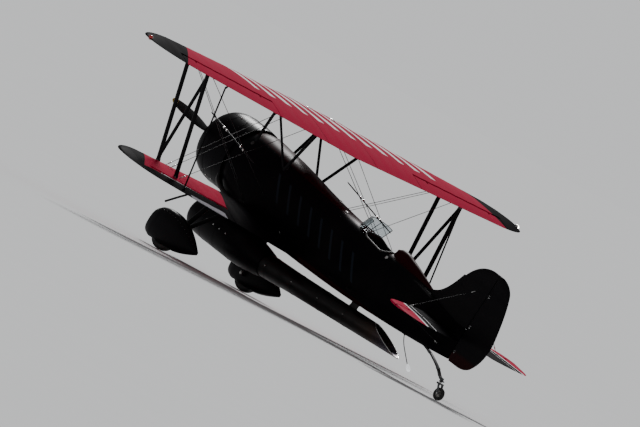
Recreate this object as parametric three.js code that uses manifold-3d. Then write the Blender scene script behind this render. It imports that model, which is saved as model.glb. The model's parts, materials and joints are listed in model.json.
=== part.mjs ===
// An open-cockpit biplane with tapered wings, a radial engine in a ring cowl,
// spatted wheels and a jet engine in a pod under the belly.
// Millimetres. The airframe is drawn in its flight frame: x forward, y to the left, z up,
// with zero at the propeller hub on the thrust line. A station is a distance aft of the hub.
// At the end the whole frame is pitched up until all three wheels stand on the ground.
import * as THREE from "three";
import { mergeVertices } from "three/addons/utils/BufferGeometryUtils.js";
import Module from "manifold-3d";

const wasm = await Module();
wasm.setup();

// Fits
const seatGap = 0.4; // between two pieces that rest on each other
const pinGap = 0.5; // round a pin in its bore
const moveGap = 9; // round a piece that moves

// Wings
const upperSpan = 9220;
const lowerSpan = 8340;
const centreHalf = 600; // half the width of the centre section
const lowerRootY = 270; // inside the fuselage side
// rise: how much of the chord the leading edge stands above the trailing edge
// round: the length of the rounded tip
const upperRoot = { lead: 1362, chord: 1582, z: 1117 };
const upperTip = { lead: 1915, chord: 800, z: 1178, rise: 0.057, round: 860 };
const lowerRoot = { lead: 1785, chord: 1600, z: -632 };
const lowerTip = { lead: 2335, chord: 785, z: -512, rise: 0.075, round: 640 };
const camberRatio = 0.035;
const camberPlace = 0.4;
const thicknessRatio = 0.125;
const trailThickness = 6;

// Ailerons
const aileronHinge = 0.76; // share of the chord
const aileronInner = 1750;
const upperAileronOuter = 3990;
const lowerAileronOuter = 3640;
const linkY = 2930;
const linkArm = 120; // from the hinge to the link's pin

// Struts
const strutUpperY = 3170;
const strutLowerY = 2960;
const frontSpar = 0.14;
const rearSpar = 0.64;
const strutChord = 88;
const strutThick = 34;
const cabaneChord = 62;
const cabaneThick = 26;

// Fuselage
const cockpit = { front: 4190, rear: 4830, half: 262, floor: -430 };

// Engine, cowl and propeller
const cowlRadius = 600;
const cowlWall = 20;
const cylinderCount = 9;
const cylinderStation = 740;
const propRadius = 1250;
const propStation = 190;
const propTurn = THREE.MathUtils.degToRad(10); // left blade above the level
const shaftRadius = 32;

// Landing gear
const wheel = { station: 1460, y: 1030, z: -1530, radius: 258, width: 145 };
const axleRadius = 20;
const tailWheel = { station: 7140, z: -1003, radius: 102, width: 58 };
const kingpin = { station: 7035, z: -848, radius: 14 }; // where it enters the fork
const tailPinRadius = 9;

// Parked, the nose points up by this much, so that all three wheels touch the ground
const wheelBase = tailWheel.station - wheel.station;
const wheelRise = tailWheel.z - wheel.z;
const parkPitch = Math.atan2(wheelRise, wheelBase)
  + Math.asin((wheel.radius - tailWheel.radius) / Math.hypot(wheelBase, wheelRise));

// Jet pod and tailpipe
const podZ = -1082; // centre line of the pod
const pipe = { front: 2520, rear: 6080, slope: 0.076, frontRadius: 188, rearRadius: 146 };
const pipeWall = 10;
const pipeStraight = 140; // the stretch inside the pod's mouth

// Tail
const rudderHinge = 6930;
const elevatorHinge = 6770;
const tailPlaneZ = -130;
const tailThick = 52;
const sternStation = rudderHinge - tailThick / 2 - moveGap;

const paint = (color, roughness = 0.35, metalness = 0) =>
  new THREE.MeshStandardMaterial({ color, roughness, metalness });
const redPaint = paint(0x8c1420);
const blackPaint = paint(0x17161a);
const steel = paint(0x8a8c90, 0.35, 1);
const castMetal = paint(0x5b5d60, 0.5, 0.9);
const rubber = paint(0x1b1b1b, 0.85);
const clearPanel = paint(0xcfd8dc, 0.05);
const leather = paint(0x4a3020, 0.6);
const bladeMetal = paint(0x3a3b3f, 0.4, 0.8);

// A bore with flat facets that still clears a turning pin
const boreFor = (pinRadius, segments) => (pinRadius + pinGap) / Math.cos(Math.PI / segments);

const degrees = THREE.MathUtils.degToRad;
const lerp = THREE.MathUtils.lerp;
const at = (station, y, z) => new THREE.Vector3(-station, y, z);

// Closed meshes

function welded(geometry) {
  const bare = geometry.clone();
  bare.deleteAttribute("normal");
  bare.deleteAttribute("uv");
  const merged = mergeVertices(bare, 1e-3);
  const index = Array.from(merged.index.array);
  const kept = [];
  for (let i = 0; i < index.length; i += 3) {
    const [a, b, c] = index.slice(i, i + 3);
    if (a !== b && b !== c && c !== a) {
      kept.push(a, b, c);
    }
  }
  merged.setIndex(kept);
  return facingOut(merged);
}

function facingOut(geometry) {
  const p = geometry.attributes.position;
  const index = geometry.index.array;
  const a = new THREE.Vector3();
  const b = new THREE.Vector3();
  const c = new THREE.Vector3();
  let volume = 0;
  for (let i = 0; i < index.length; i += 3) {
    a.fromBufferAttribute(p, index[i]);
    b.fromBufferAttribute(p, index[i + 1]);
    c.fromBufferAttribute(p, index[i + 2]);
    volume += a.dot(b.cross(c));
  }
  if (volume < 0) {
    const turned = Array.from(index);
    for (let i = 0; i < turned.length; i += 3) {
      [turned[i], turned[i + 1]] = [turned[i + 1], turned[i]];
    }
    geometry.setIndex(turned);
  }
  return geometry;
}

function solid(geometry) {
  const closed = welded(geometry);
  return new wasm.Manifold(new wasm.Mesh({
    numProp: 3,
    vertProperties: new Float32Array(closed.attributes.position.array),
    triVerts: new Uint32Array(closed.index.array),
  }));
}

function surface(manifold) {
  const mesh = manifold.getMesh();
  const geometry = new THREE.BufferGeometry();
  geometry.setAttribute("position", new THREE.BufferAttribute(mesh.vertProperties, 3));
  geometry.setIndex(Array.from(mesh.triVerts));
  geometry.computeVertexNormals();
  return geometry;
}

// A skin through rings of the same number of points, with flat ends
function loft(rings) {
  const count = rings[0].length;
  const points = rings.flat();
  const index = [];
  for (let r = 0; r + 1 < rings.length; r += 1) {
    for (let k = 0; k < count; k += 1) {
      const here = r * count + k;
      const next = r * count + ((k + 1) % count);
      if (k < count / 2) {
        index.push(here, next, here + count, next, next + count, here + count);
      } else {
        index.push(here, next, next + count, here, next + count, here + count);
      }
    }
  }
  const ends = [[0, 1], [(rings.length - 1) * count, -1]];
  for (const [first, side] of ends) {
    let low = 0;
    let high = count - 1;
    while (low + 1 < high) {
      const fan = [[low, high, low + 1]];
      if (low + 2 < high) {
        fan.push([low + 1, high, high - 1]);
      }
      for (const [a, b, c] of fan) {
        index.push(first + a, first + (side > 0 ? b : c), first + (side > 0 ? c : b));
      }
      low += 1;
      high -= 1;
    }
  }
  const geometry = new THREE.BufferGeometry().setFromPoints(points);
  geometry.setIndex(index);
  return facingOut(geometry);
}

function mirrored(geometry) {
  return facingOut(geometry.clone().scale(1, -1, 1));
}

function sideOf(geometry, side) {
  return side > 0 ? geometry : mirrored(geometry);
}

// A body of revolution about a line that runs aft, from [station, radius] pairs
function turnedAft(profile, segments, closedLoop = false) {
  const points = profile.map(([station, radius]) => new THREE.Vector2(radius, station));
  if (closedLoop) {
    points.push(points[0].clone());
  }
  return new THREE.LatheGeometry(points, segments).rotateZ(Math.PI / 2);
}

// A body of revolution about a line that runs sideways, from [y, radius] pairs
function turnedAcross(profile, segments, closedLoop = false) {
  const points = profile.map(([y, radius]) => new THREE.Vector2(radius, y));
  if (closedLoop) {
    points.push(points[0].clone());
  }
  return new THREE.LatheGeometry(points, segments);
}

function rodBetween(a, b, radius, segments = 12) {
  const along = b.clone().sub(a);
  const rod = new THREE.CylinderGeometry(radius, radius, along.length(), segments);
  const turn = new THREE.Quaternion().setFromUnitVectors(
    new THREE.Vector3(0, 1, 0), along.clone().normalize());
  rod.applyQuaternion(turn);
  const middle = a.clone().add(b).multiplyScalar(0.5);
  return rod.translate(middle.x, middle.y, middle.z);
}

// A strut with an oval section whose long side lies along the flow
function strutBetween(a, b, chord, thick) {
  const outline = new THREE.Shape();
  outline.absellipse(0, 0, chord / 2, thick / 2, 0, 2 * Math.PI);
  const along = b.clone().sub(a);
  const strut = new THREE.ExtrudeGeometry(outline, {
    depth: along.length(), bevelEnabled: false, curveSegments: 6,
  });
  const lengthwise = along.clone().normalize();
  const flow = new THREE.Vector3(1, 0, 0);
  flow.addScaledVector(lengthwise, -flow.dot(lengthwise)).normalize();
  const across = new THREE.Vector3().crossVectors(lengthwise, flow);
  strut.applyMatrix4(new THREE.Matrix4().makeBasis(flow, across, lengthwise));
  return strut.translate(a.x, a.y, a.z);
}

function boxBetween(low, high) {
  const size = high.clone().sub(low);
  const middle = low.clone().add(high).multiplyScalar(0.5);
  return new THREE.BoxGeometry(Math.abs(size.x), Math.abs(size.y), Math.abs(size.z))
    .translate(middle.x, middle.y, middle.z);
}

// An oval, more or less square, between a top and a bottom
function ovalRing({ station, top, bottom, half, power, y = 0 }, count, grow = 0) {
  const middle = (top + bottom) / 2;
  const height = (top - bottom) / 2 + grow;
  const ring = [];
  for (let k = 0; k < count; k += 1) {
    const turn = (2 * Math.PI * (k + 0.5)) / count;
    const side = Math.sign(Math.sin(turn)) * Math.abs(Math.sin(turn)) ** (2 / power);
    const rise = Math.sign(Math.cos(turn)) * Math.abs(Math.cos(turn)) ** (2 / power);
    ring.push(at(station, y + (half + grow) * side, middle + height * rise));
  }
  return ring;
}

// Fuselage: station, top, bottom, half width, squareness
const fuselageTable = [
  { station: 1150, top: 540, bottom: -540, half: 540, power: 2.0 },
  { station: 1280, top: 566, bottom: -612, half: 552, power: 2.1 },
  { station: 1650, top: 552, bottom: -660, half: 516, power: 2.4 },
  { station: 2150, top: 510, bottom: -700, half: 462, power: 2.8 },
  { station: 2800, top: 432, bottom: -735, half: 425, power: 3.0 },
  { station: 3500, top: 366, bottom: -732, half: 405, power: 3.0 },
  { station: 4200, top: 328, bottom: -715, half: 385, power: 2.9 },
  { station: 4900, top: 284, bottom: -680, half: 335, power: 2.7 },
  { station: 5600, top: 205, bottom: -630, half: 250, power: 2.5 },
  { station: 6200, top: 110, bottom: -575, half: 155, power: 2.3 },
  { station: 6600, top: 60, bottom: -530, half: 85, power: 2.2 },
  { station: sternStation, top: 35, bottom: -492, half: 30, power: 2.2 },
];
const hullSides = 24;

function hull(grow = 0) {
  return solid(loft(fuselageTable.map((row) => ovalRing(row, hullSides, grow))));
}

const grownHull = hull(seatGap);

function roundedOutline(front, rear, half, corner) {
  const outline = new THREE.Shape();
  outline.moveTo(-front - corner, half);
  outline.lineTo(-rear + corner, half);
  outline.absarc(-rear + corner, half - corner, corner, Math.PI / 2, Math.PI, false);
  outline.absarc(-rear + corner, -half + corner, corner, Math.PI, 1.5 * Math.PI, false);
  outline.absarc(-front - corner, -half + corner, corner, 1.5 * Math.PI, 2 * Math.PI, false);
  outline.absarc(-front - corner, half - corner, corner, 0, Math.PI / 2, false);
  return outline;
}

function cockpitSpace() {
  const corner = 150;
  const outline = roundedOutline(cockpit.front, cockpit.rear, cockpit.half, corner);
  const space = new THREE.ExtrudeGeometry(outline, {
    depth: 1200, bevelEnabled: false, curveSegments: 5,
  });
  return solid(space.translate(0, 0, cockpit.floor));
}

const torqueTubeRadius = 18;
function torqueTubeBore() {
  const reach = 200;
  const bore = rodBetween(at(elevatorHinge, -reach, tailPlaneZ),
    at(elevatorHinge, reach, tailPlaneZ), torqueTubeRadius + 6, 14);
  return solid(bore);
}

// Wings

function airfoil(share) {
  const t = thicknessRatio;
  const half = 5 * t * (0.2969 * Math.sqrt(share) - 0.126 * share - 0.3516 * share ** 2
    + 0.2843 * share ** 3 - 0.1036 * share ** 4);
  const m = camberRatio;
  const p = camberPlace;
  const camber = share < p
    ? (m / p ** 2) * (2 * p * share - share ** 2)
    : (m / (1 - p) ** 2) * (1 - 2 * p + 2 * p * share - share ** 2);
  return { half, camber };
}

// The tapered planform with its rounded end
function planform(root, tip, rootY, tipY, y) {
  const share = (y - rootY) / (tipY - rootY);
  const lead = lerp(root.lead, tip.lead, share);
  const chord = lerp(root.chord, tip.chord, share);
  const into = Math.max(0, (y - (tipY - tip.round)) / tip.round);
  const narrow = Math.sqrt(Math.max(0.004, 1 - into ** 2));
  const pivot = 0.52; // the share of the chord that the rounding closes on
  return {
    lead: lead + pivot * chord * (1 - narrow),
    chord: chord * narrow,
    z: lerp(root.z, tip.z, share),
    rise: tip.rise,
  };
}

// The height of a chord line at a share of the chord, which lies higher at the front
function chordHeight({ chord, z, rise }, share) {
  return z + (0.5 - share) * rise * chord;
}

const upperPlan = (y) => planform(upperRoot, upperTip, 0, upperSpan / 2, y);
const lowerPlan = (y) => planform(lowerRoot, lowerTip, 0, lowerSpan / 2, y);

function wingRing(plan, y) {
  const section = plan(Math.abs(y));
  const { lead, chord } = section;
  const steps = 9;
  const upper = [];
  const lower = [];
  for (let k = 0; k <= steps; k += 1) {
    const share = (1 + Math.cos((Math.PI * k) / steps)) / 2;
    const { half, camber } = airfoil(share);
    const rear = (trailThickness / 2) * share;
    const middle = chordHeight(section, share) + camber * chord;
    const deep = half * chord + rear;
    upper.push(at(lead + share * chord, y, middle + deep));
    lower.push(at(lead + share * chord, y, middle - deep));
  }
  lower.pop();
  return [...upper, ...lower.reverse()];
}

function wingPanel(plan, rootY, tipY, round) {
  const rounding = [0, 0.35, 0.6, 0.8, 0.93, 1];
  const straight = tipY - round;
  const ys = [rootY, lerp(rootY, straight, 0.5)];
  for (const share of rounding) {
    ys.push(straight + share * round);
  }
  return loft(ys.map((y) => wingRing(plan, y)));
}

function foil(plan, y, share) {
  const section = plan(Math.abs(y));
  const { lead, chord } = section;
  const { half, camber } = airfoil(share);
  const z = chordHeight(section, share);
  return {
    middle: at(lead + share * chord, y, z + camber * chord),
    top: at(lead + share * chord, y, z + (camber + half) * chord),
    bottom: at(lead + share * chord, y, z + (camber - half) * chord),
    half: half * chord,
  };
}

// Hinged surfaces: a round nose on the hinge line, held by lugs with pins

function hingeFrame(a, b) {
  const along = b.clone().sub(a).normalize();
  const up = Math.abs(along.z) > 0.5 ? new THREE.Vector3(0, 1, 0) : new THREE.Vector3(0, 0, 1);
  const aft = new THREE.Vector3().crossVectors(along, up).normalize();
  if (aft.x > 0) {
    aft.negate();
  }
  const across = new THREE.Vector3().crossVectors(aft, along).normalize();
  const frame = new THREE.Matrix4().makeBasis(aft, along, across);
  return frame.setPosition(a);
}

function inHinge(frame, geometry) {
  return solid(geometry.applyMatrix4(frame));
}

// size: the box from fore to aft of the hinge line, and from start to stop along it
function hingeBox(frame, fore, aft, start, stop, height) {
  const box = new THREE.BoxGeometry(fore + aft, stop - start, height);
  return inHinge(frame, box.translate((aft - fore) / 2, (start + stop) / 2, 0));
}

function hingeRod(frame, radiusStart, radiusStop, start, stop, segments = 12) {
  const rod = new THREE.CylinderGeometry(radiusStop, radiusStart, stop - start, segments);
  return inHinge(frame, rod.translate(0, (start + stop) / 2, 0));
}

const lug = { wide: 24, eye: 14, neck: 9, pin: 6 };

function lugOn(frame, place, noseRadius) {
  const start = place - lug.wide / 2;
  const stop = place + lug.wide / 2;
  const neck = hingeBox(frame, noseRadius + moveGap + 6, 0, start, stop, 2 * lug.neck);
  const eye = hingeRod(frame, lug.eye, lug.eye, start, stop);
  return neck.add(eye);
}

function lugBore(frame, place) {
  const reach = lug.wide / 2 + 1;
  const radius = boreFor(lug.pin, 8);
  return hingeRod(frame, radius, radius, place - reach, place + reach, 8);
}

function withLugNotch(moving, frame, place, noseRadius) {
  const reach = lug.wide / 2 + moveGap;
  const cut = noseRadius + 6;
  const pinEnd = reach + 4;
  const notch = hingeRod(frame, cut, cut, place - reach, place + reach);
  const pin = hingeRod(frame, lug.pin, lug.pin, place - pinEnd, place + pinEnd, 8);
  return moving.subtract(notch).add(pin);
}

function wingWithAileron(plan, panel, outer) {
  const inner = foil(plan, aileronInner, aileronHinge);
  const end = foil(plan, outer, aileronHinge);
  const frame = hingeFrame(inner.middle, end.middle);
  const length = end.middle.distanceTo(inner.middle);
  const clear = moveGap + 3;
  const whole = solid(panel);
  const tail = hingeBox(frame, 0, 900, clear, length - clear, 600);
  const nose = hingeRod(frame, inner.half, end.half, clear, length - clear);
  const opening = hingeBox(frame, inner.half + moveGap, 900, 0, length, 600);
  const lugPlaces = [0.15, 0.85].map((share) => share * length);
  let aileron = whole.intersect(tail).add(nose);
  let wing = whole.subtract(opening);
  for (const place of lugPlaces) {
    aileron = withLugNotch(aileron, frame, place, inner.half);
    wing = wing.add(lugOn(frame, place, inner.half)).subtract(lugBore(frame, place));
  }
  return { wing, aileron, from: inner.middle, to: end.middle };
}

const upperPanel = wingPanel(upperPlan, centreHalf + seatGap, upperSpan / 2, upperTip.round);
const lowerPanel = wingPanel(lowerPlan, lowerRootY, lowerSpan / 2, lowerTip.round);
const upperWing = wingWithAileron(upperPlan, upperPanel, upperAileronOuter);
const lowerWing = wingWithAileron(lowerPlan, lowerPanel, lowerAileronOuter);
const lowerWingSolid = lowerWing.wing.subtract(grownHull);
const centreSection = loft([-centreHalf, 0, centreHalf].map((y) => wingRing(upperPlan, y)));

function shifted(geometry, dz) {
  return solid(geometry.clone().translate(0, 0, dz));
}

const underUpper = shifted(upperPanel, -seatGap);
const overLower = shifted(lowerPanel, seatGap);
const underCentre = shifted(centreSection, -seatGap);

// Struts between the wings, in the form of an N
function interplaneStruts() {
  const sink = 30;
  const heads = [frontSpar, rearSpar].map((share) => foil(upperPlan, strutUpperY, share).bottom);
  const feet = [frontSpar, rearSpar].map((share) => foil(lowerPlan, strutLowerY, share).top);
  heads.forEach((head) => { head.z += sink; });
  feet.forEach((foot) => { foot.z -= sink; });
  const front = strutBetween(feet[0], heads[0], strutChord, strutThick);
  const rear = strutBetween(feet[1], heads[1], strutChord, strutThick);
  const inset = 70;
  const low = feet[0].clone().lerp(heads[0], inset / 1400);
  const high = heads[1].clone().lerp(feet[1], inset / 1400);
  const diagonal = strutBetween(low, high, strutChord * 0.8, strutThick * 0.8);
  return solid(front).add(solid(rear)).add(solid(diagonal))
    .subtract(underUpper).subtract(overLower);
}

// Struts from the fuselage to the centre section, in the form of an N on each side
const cabane = {
  head: { front: 1520, rear: 2530, y: 530, z: 1075 },
  foot: { front: 1370, rear: 2210, y: 400, z: 290 },
};

function cabaneStruts() {
  const { head, foot } = cabane;
  const front = [at(foot.front, foot.y, foot.z), at(head.front, head.y, head.z)];
  const rear = [at(foot.rear, foot.y, foot.z), at(head.rear, head.y, head.z)];
  const diagonal = [front[1].clone().lerp(rear[0], 0.02), rear[0].clone().lerp(front[1], 0.04)];
  return solid(strutBetween(...front, cabaneChord, cabaneThick))
    .add(solid(strutBetween(...rear, cabaneChord, cabaneThick)))
    .add(solid(strutBetween(...diagonal, cabaneChord * 0.8, cabaneThick * 0.8)))
    .subtract(grownHull)
    .subtract(underCentre);
}

// Main stays
const stayRadius = 5;
function flyingWire() {
  const foot = at(1960, 380, -560);
  const head = foil(upperPlan, strutUpperY - 90, frontSpar + 0.06).bottom;
  head.z += 20;
  return solid(rodBetween(foot, head, stayRadius, 8)).subtract(underUpper)
    .subtract(grownHull).subtract(overLower);
}

function landingWire() {
  const head = foil(upperPlan, centreHalf - 50, frontSpar + 0.06).bottom;
  head.z += 15;
  const foot = foil(lowerPlan, strutLowerY - 90, frontSpar + 0.1).top;
  foot.z -= 20;
  return solid(rodBetween(head, foot, stayRadius, 8)).subtract(underCentre)
    .subtract(underUpper).subtract(overLower);
}

// The rod that works the upper aileron from the lower one. It turns on a pin on the lower
// horn. Its upper eye lies beside the upper horn, which hangs lower and has no pin.
const hornReach = { lower: 24, upper: 46 };

function aileronPin(plan, topSide) {
  const { lead, chord } = plan(linkY);
  const hingeAt = foil(plan, linkY, aileronHinge);
  const share = aileronHinge + linkArm / chord;
  const skin = foil(plan, linkY, share);
  const z = topSide ? skin.top.z + hornReach.lower : skin.bottom.z - hornReach.upper;
  return { pin: at(lead + share * chord, linkY, z), hinge: hingeAt.middle, skin };
}

const lowerPin = aileronPin(lowerPlan, true);
const upperPin = aileronPin(upperPlan, false);
const horn = { wide: 10, radius: 14, pin: 5 };

// A rod through a point, parallel to the lower aileron's hinge line
function alongHinge(point, start, stop, radius, segments) {
  const line = lowerWing.to.clone().sub(lowerWing.from).normalize();
  return rodBetween(point.clone().addScaledVector(line, start),
    point.clone().addScaledVector(line, stop), radius, segments);
}

function hornOn(aileron, { pin, skin }, pinned) {
  const offset = 16;
  const plateY = linkY - offset;
  const low = at(-pin.x + horn.radius, plateY - horn.wide, Math.min(pin.z, skin.middle.z));
  const high = at(-pin.x - horn.radius, plateY, Math.max(pin.z, skin.middle.z));
  const plate = boxBetween(low, high);
  const cheek = rodBetween(at(-pin.x, plateY - horn.wide, pin.z), at(-pin.x, plateY, pin.z),
    horn.radius, 10);
  const rod = alongHinge(pin, -20, 12, horn.pin, 8);
  const body = aileron.add(solid(plate)).add(solid(cheek));
  return pinned ? body.add(solid(rod)) : body;
}

function aileronLink() {
  const eyeHalf = 9;
  const eyeRadius = 12;
  const eyeAt = (pin) => alongHinge(pin, -eyeHalf, eyeHalf, eyeRadius, 10);
  const boreAt = (pin) => alongHinge(pin, -30, 30, boreFor(horn.pin, 8), 8);
  const shaft = strutBetween(lowerPin.pin, upperPin.pin, 34, 16);
  return solid(shaft).add(solid(eyeAt(lowerPin.pin))).add(solid(eyeAt(upperPin.pin)))
    .subtract(solid(boreAt(lowerPin.pin)));
}

const lowerAileron = hornOn(lowerWing.aileron, lowerPin, true);
const upperAileron = hornOn(upperWing.aileron, upperPin, false);

// Fin and rudder from one outline: side view, station and height
function finOutline() {
  const outline = new THREE.Shape();
  outline.moveTo(-5940, 20);
  outline.quadraticCurveTo(-6130, 370, -6262, 680);
  outline.quadraticCurveTo(-6400, 985, -6760, 1016);
  outline.quadraticCurveTo(-7130, 1050, -7282, 856);
  outline.quadraticCurveTo(-7420, 630, -7535, 120);
  outline.quadraticCurveTo(-7585, -210, -7400, -420);
  outline.quadraticCurveTo(-7290, -520, -7050, -504);
  outline.lineTo(-6900, -494);
  outline.lineTo(-6600, -300);
  outline.closePath();
  return outline;
}

function flatSurface(outline, thick) {
  const edge = 16;
  const plate = new THREE.ExtrudeGeometry(outline, {
    depth: thick - 2 * edge,
    bevelEnabled: true,
    bevelThickness: edge,
    bevelSize: edge,
    bevelOffset: -edge,
    bevelSegments: 1,
    curveSegments: 6,
  });
  return plate.translate(0, 0, edge - thick / 2);
}

const noseRadius = tailThick / 2;

function finAndRudder() {
  const whole = solid(flatSurface(finOutline(), tailThick).rotateX(Math.PI / 2));
  const bottom = at(rudderHinge, 0, -700);
  const frame = hingeFrame(bottom, at(rudderHinge, 0, 1400));
  const rudderLow = 235;
  const rudderHigh = 1700;
  const outlineHigh = at(rudderHinge, 0, 1400);
  const length = outlineHigh.distanceTo(bottom);
  const aftPart = hingeBox(frame, 0, 900, 0, length, 300);
  const nose = hingeRod(frame, noseRadius, noseRadius, rudderLow, rudderHigh);
  const band = hingeBox(frame, noseRadius, 900, 0, length, 300);
  let rudder = whole.intersect(aftPart).add(nose.intersect(whole.intersect(band)));
  const buried = boxBetween(at(7000, -200, -600), at(5900, 200, -100));
  let fin = whole.subtract(hingeBox(frame, noseRadius + moveGap, 900, -100, length + 100, 300))
    .subtract(grownHull).subtract(solid(buried));
  const places = [360, 800, 1350];
  for (const place of places) {
    rudder = withLugNotch(rudder, frame, place, noseRadius);
  }
  for (const place of places.slice(1)) {
    fin = fin.add(lugOn(frame, place, noseRadius)).subtract(lugBore(frame, place));
  }
  return { fin, rudder, frame, sternLug: places[0] };
}

const tailFeathers = finAndRudder();

// Stabilizer and elevator from one outline: plan view of the left half
function tailPlaneOutline() {
  const outline = new THREE.Shape();
  outline.moveTo(-6060, 0);
  outline.lineTo(-6120, 250);
  outline.quadraticCurveTo(-6310, 1000, -6450, 1290);
  outline.quadraticCurveTo(-6540, 1470, -6800, 1480);
  outline.quadraticCurveTo(-7170, 1480, -7290, 1230);
  outline.quadraticCurveTo(-7360, 900, -7335, 560);
  outline.quadraticCurveTo(-7330, 420, -7240, 380);
  outline.lineTo(-6990, 165);
  outline.lineTo(-6800, 70);
  outline.lineTo(-6800, 0);
  outline.closePath();
  return outline;
}

function tailPlane() {
  const whole = solid(flatSurface(tailPlaneOutline(), tailThick).translate(0, 0, tailPlaneZ));
  const innerY = 84;
  const from = at(elevatorHinge, innerY, tailPlaneZ);
  const to = at(elevatorHinge, 1800, tailPlaneZ);
  const frame = hingeFrame(from, to);
  const length = to.distanceTo(from);
  const aftPart = hingeBox(frame, 0, 900, 0, length, 300);
  const band = hingeBox(frame, noseRadius, 900, 0, length, 300);
  const nose = hingeRod(frame, noseRadius, noseRadius, 0, length);
  const tube = rodBetween(at(elevatorHinge, seatGap, tailPlaneZ),
    at(elevatorHinge, innerY + 5, tailPlaneZ), torqueTubeRadius, 14);
  let elevator = whole.intersect(aftPart).add(nose.intersect(whole.intersect(band)));
  elevator = elevator.add(solid(tube));
  let stabilizer = whole.subtract(hingeBox(frame, noseRadius + moveGap, 900, -200, length, 300))
    .subtract(grownHull);
  for (const place of [150, 1120]) {
    elevator = withLugNotch(elevator, frame, place, noseRadius);
    stabilizer = stabilizer.add(lugOn(frame, place, noseRadius)).subtract(lugBore(frame, place));
  }
  return { stabilizer, elevator };
}

const tail = tailPlane();

// Headrest fairing behind the cockpit: station, top, bottom, half width, squareness
const headrestTable = [
  { station: 4870, top: 408, bottom: 60, half: 118, power: 2.4 },
  { station: 4960, top: 425, bottom: 60, half: 126, power: 2.3 },
  { station: 5250, top: 375, bottom: 40, half: 104, power: 2.2 },
  { station: 5600, top: 285, bottom: 20, half: 66, power: 2.1 },
  { station: 5950, top: 190, bottom: 0, half: 26, power: 2.0 },
];

function headrest() {
  const finPart = solid(flatSurface(finOutline(), tailThick + 2 * seatGap).rotateX(Math.PI / 2));
  return solid(loft(headrestTable.map((row) => ovalRing(row, 16))))
    .subtract(grownHull).subtract(finPart);
}

// Windshield: a bent clear panel that leans back
const glass = { front: 3900, half: 235, deep: 300, thick: 8, high: 208, lean: 0.55 };

function windshield() {
  const outline = new THREE.Shape();
  const centre = -glass.front - glass.deep;
  const sweep = degrees(82);
  outline.absellipse(centre, 0, glass.deep, glass.half, -sweep, sweep, false);
  outline.absellipse(centre, 0, glass.deep - glass.thick, glass.half - glass.thick, sweep, -sweep, true);
  outline.closePath();
  const panel = new THREE.ExtrudeGeometry(outline, {
    depth: 560, bevelEnabled: false, curveSegments: 8,
  });
  panel.translate(0, 0, -60);
  const lean = new THREE.Matrix4().makeShear(0, 0, 0, 0, 0, 0);
  lean.elements[8] = -glass.lean;
  panel.applyMatrix4(lean);
  panel.translate(glass.lean * 330, 0, 0);
  const lid = boxBetween(at(5200, -500, 330 + glass.high), at(3400, 500, 2000));
  return solid(panel).subtract(grownHull).subtract(solid(lid));
}

// Cockpit fittings
function instrumentPanel() {
  const low = at(cockpit.front + 60, -cockpit.half + seatGap, -40);
  const high = at(cockpit.front + 36, cockpit.half - seatGap, 210);
  const board = solid(boxBetween(low, high));
  const corner = roundedOutline(cockpit.front, cockpit.rear, cockpit.half - seatGap, 150);
  const limit = new THREE.ExtrudeGeometry(corner, {
    depth: 1200, bevelEnabled: false, curveSegments: 5,
  });
  return board.intersect(solid(limit.translate(0, 0, cockpit.floor)));
}

function seat() {
  const profile = new THREE.Shape();
  profile.moveTo(-4480, 0);
  profile.lineTo(-4480, 190);
  profile.quadraticCurveTo(-4600, 150, -4700, 165);
  profile.lineTo(-4752, 560);
  profile.lineTo(-4792, 560);
  profile.lineTo(-4756, 0);
  profile.closePath();
  const width = 400;
  const body = new THREE.ExtrudeGeometry(profile, {
    depth: width, bevelEnabled: false, curveSegments: 5,
  });
  body.rotateX(Math.PI / 2).translate(0, width / 2, cockpit.floor + seatGap);
  return body;
}

function controlStick() {
  const stick = rodBetween(at(4400, 0, cockpit.floor + seatGap), at(4370, 0, 40), 11, 10);
  const grip = rodBetween(at(4372, 0, 10), at(4366, 0, 120), 18, 12);
  return solid(stick).add(solid(grip)).subtract(solid(
    boxBetween(at(4600, -60, cockpit.floor - 40), at(4200, 60, cockpit.floor + seatGap))));
}

// Cowl and engine
const cowlProfile = [
  [425, 470], [438, 512], [490, 558], [580, 590], [700, cowlRadius], [960, cowlRadius], [1165, 588],
  [1165, 588 - cowlWall], [960, cowlRadius - cowlWall], [700, cowlRadius - cowlWall],
  [580, 562], [470, 480],
];
const cowlSegments = 36;

function engine() {
  const wallRadius = cowlRadius - cowlWall;
  const crankcase = turnedAft([
    [345, 0], [345, 70], [420, 88], [500, 120], [580, 170], [630, 235], [850, 240], [930, 300],
    [1120, 300], [1150 - seatGap, 240], [1150 - seatGap, 0],
  ], 18);
  const shaft = turnedAft([[propStation - 60, 0], [propStation - 60, shaftRadius],
    [360, shaftRadius], [360, 0]], 16);
  let body = solid(crankcase).add(solid(shaft));
  for (let k = 0; k < cylinderCount; k += 1) {
    const barrel = new THREE.LatheGeometry([
      [0, 200], [72, 200], [72, 300], [92, 310], [92, 400], [98, 470], [70, 505], [26, 512],
      [26, wallRadius + 4], [0, wallRadius + 4],
    ].map(([radius, height]) => new THREE.Vector2(radius, height)), 8);
    barrel.rotateX(Math.PI / 2);
    barrel.rotateX((2 * Math.PI * k) / cylinderCount);
    body = body.add(solid(barrel.translate(-cylinderStation, 0, 0)));
  }
  const cowlSpace = turnedAft([
    [400, 0], [400, 440], [580, 562 - seatGap * 2], [700, wallRadius - seatGap * 2],
    [960, wallRadius - seatGap * 2], [1200, 560], [1200, 0],
  ], cowlSegments);
  const shaftFree = turnedAft([[propStation - 80, 0], [propStation - 80, shaftRadius + 5],
    [420, shaftRadius + 5], [420, 0]], 16);
  return body.intersect(solid(cowlSpace).add(solid(shaftFree)));
}

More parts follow.
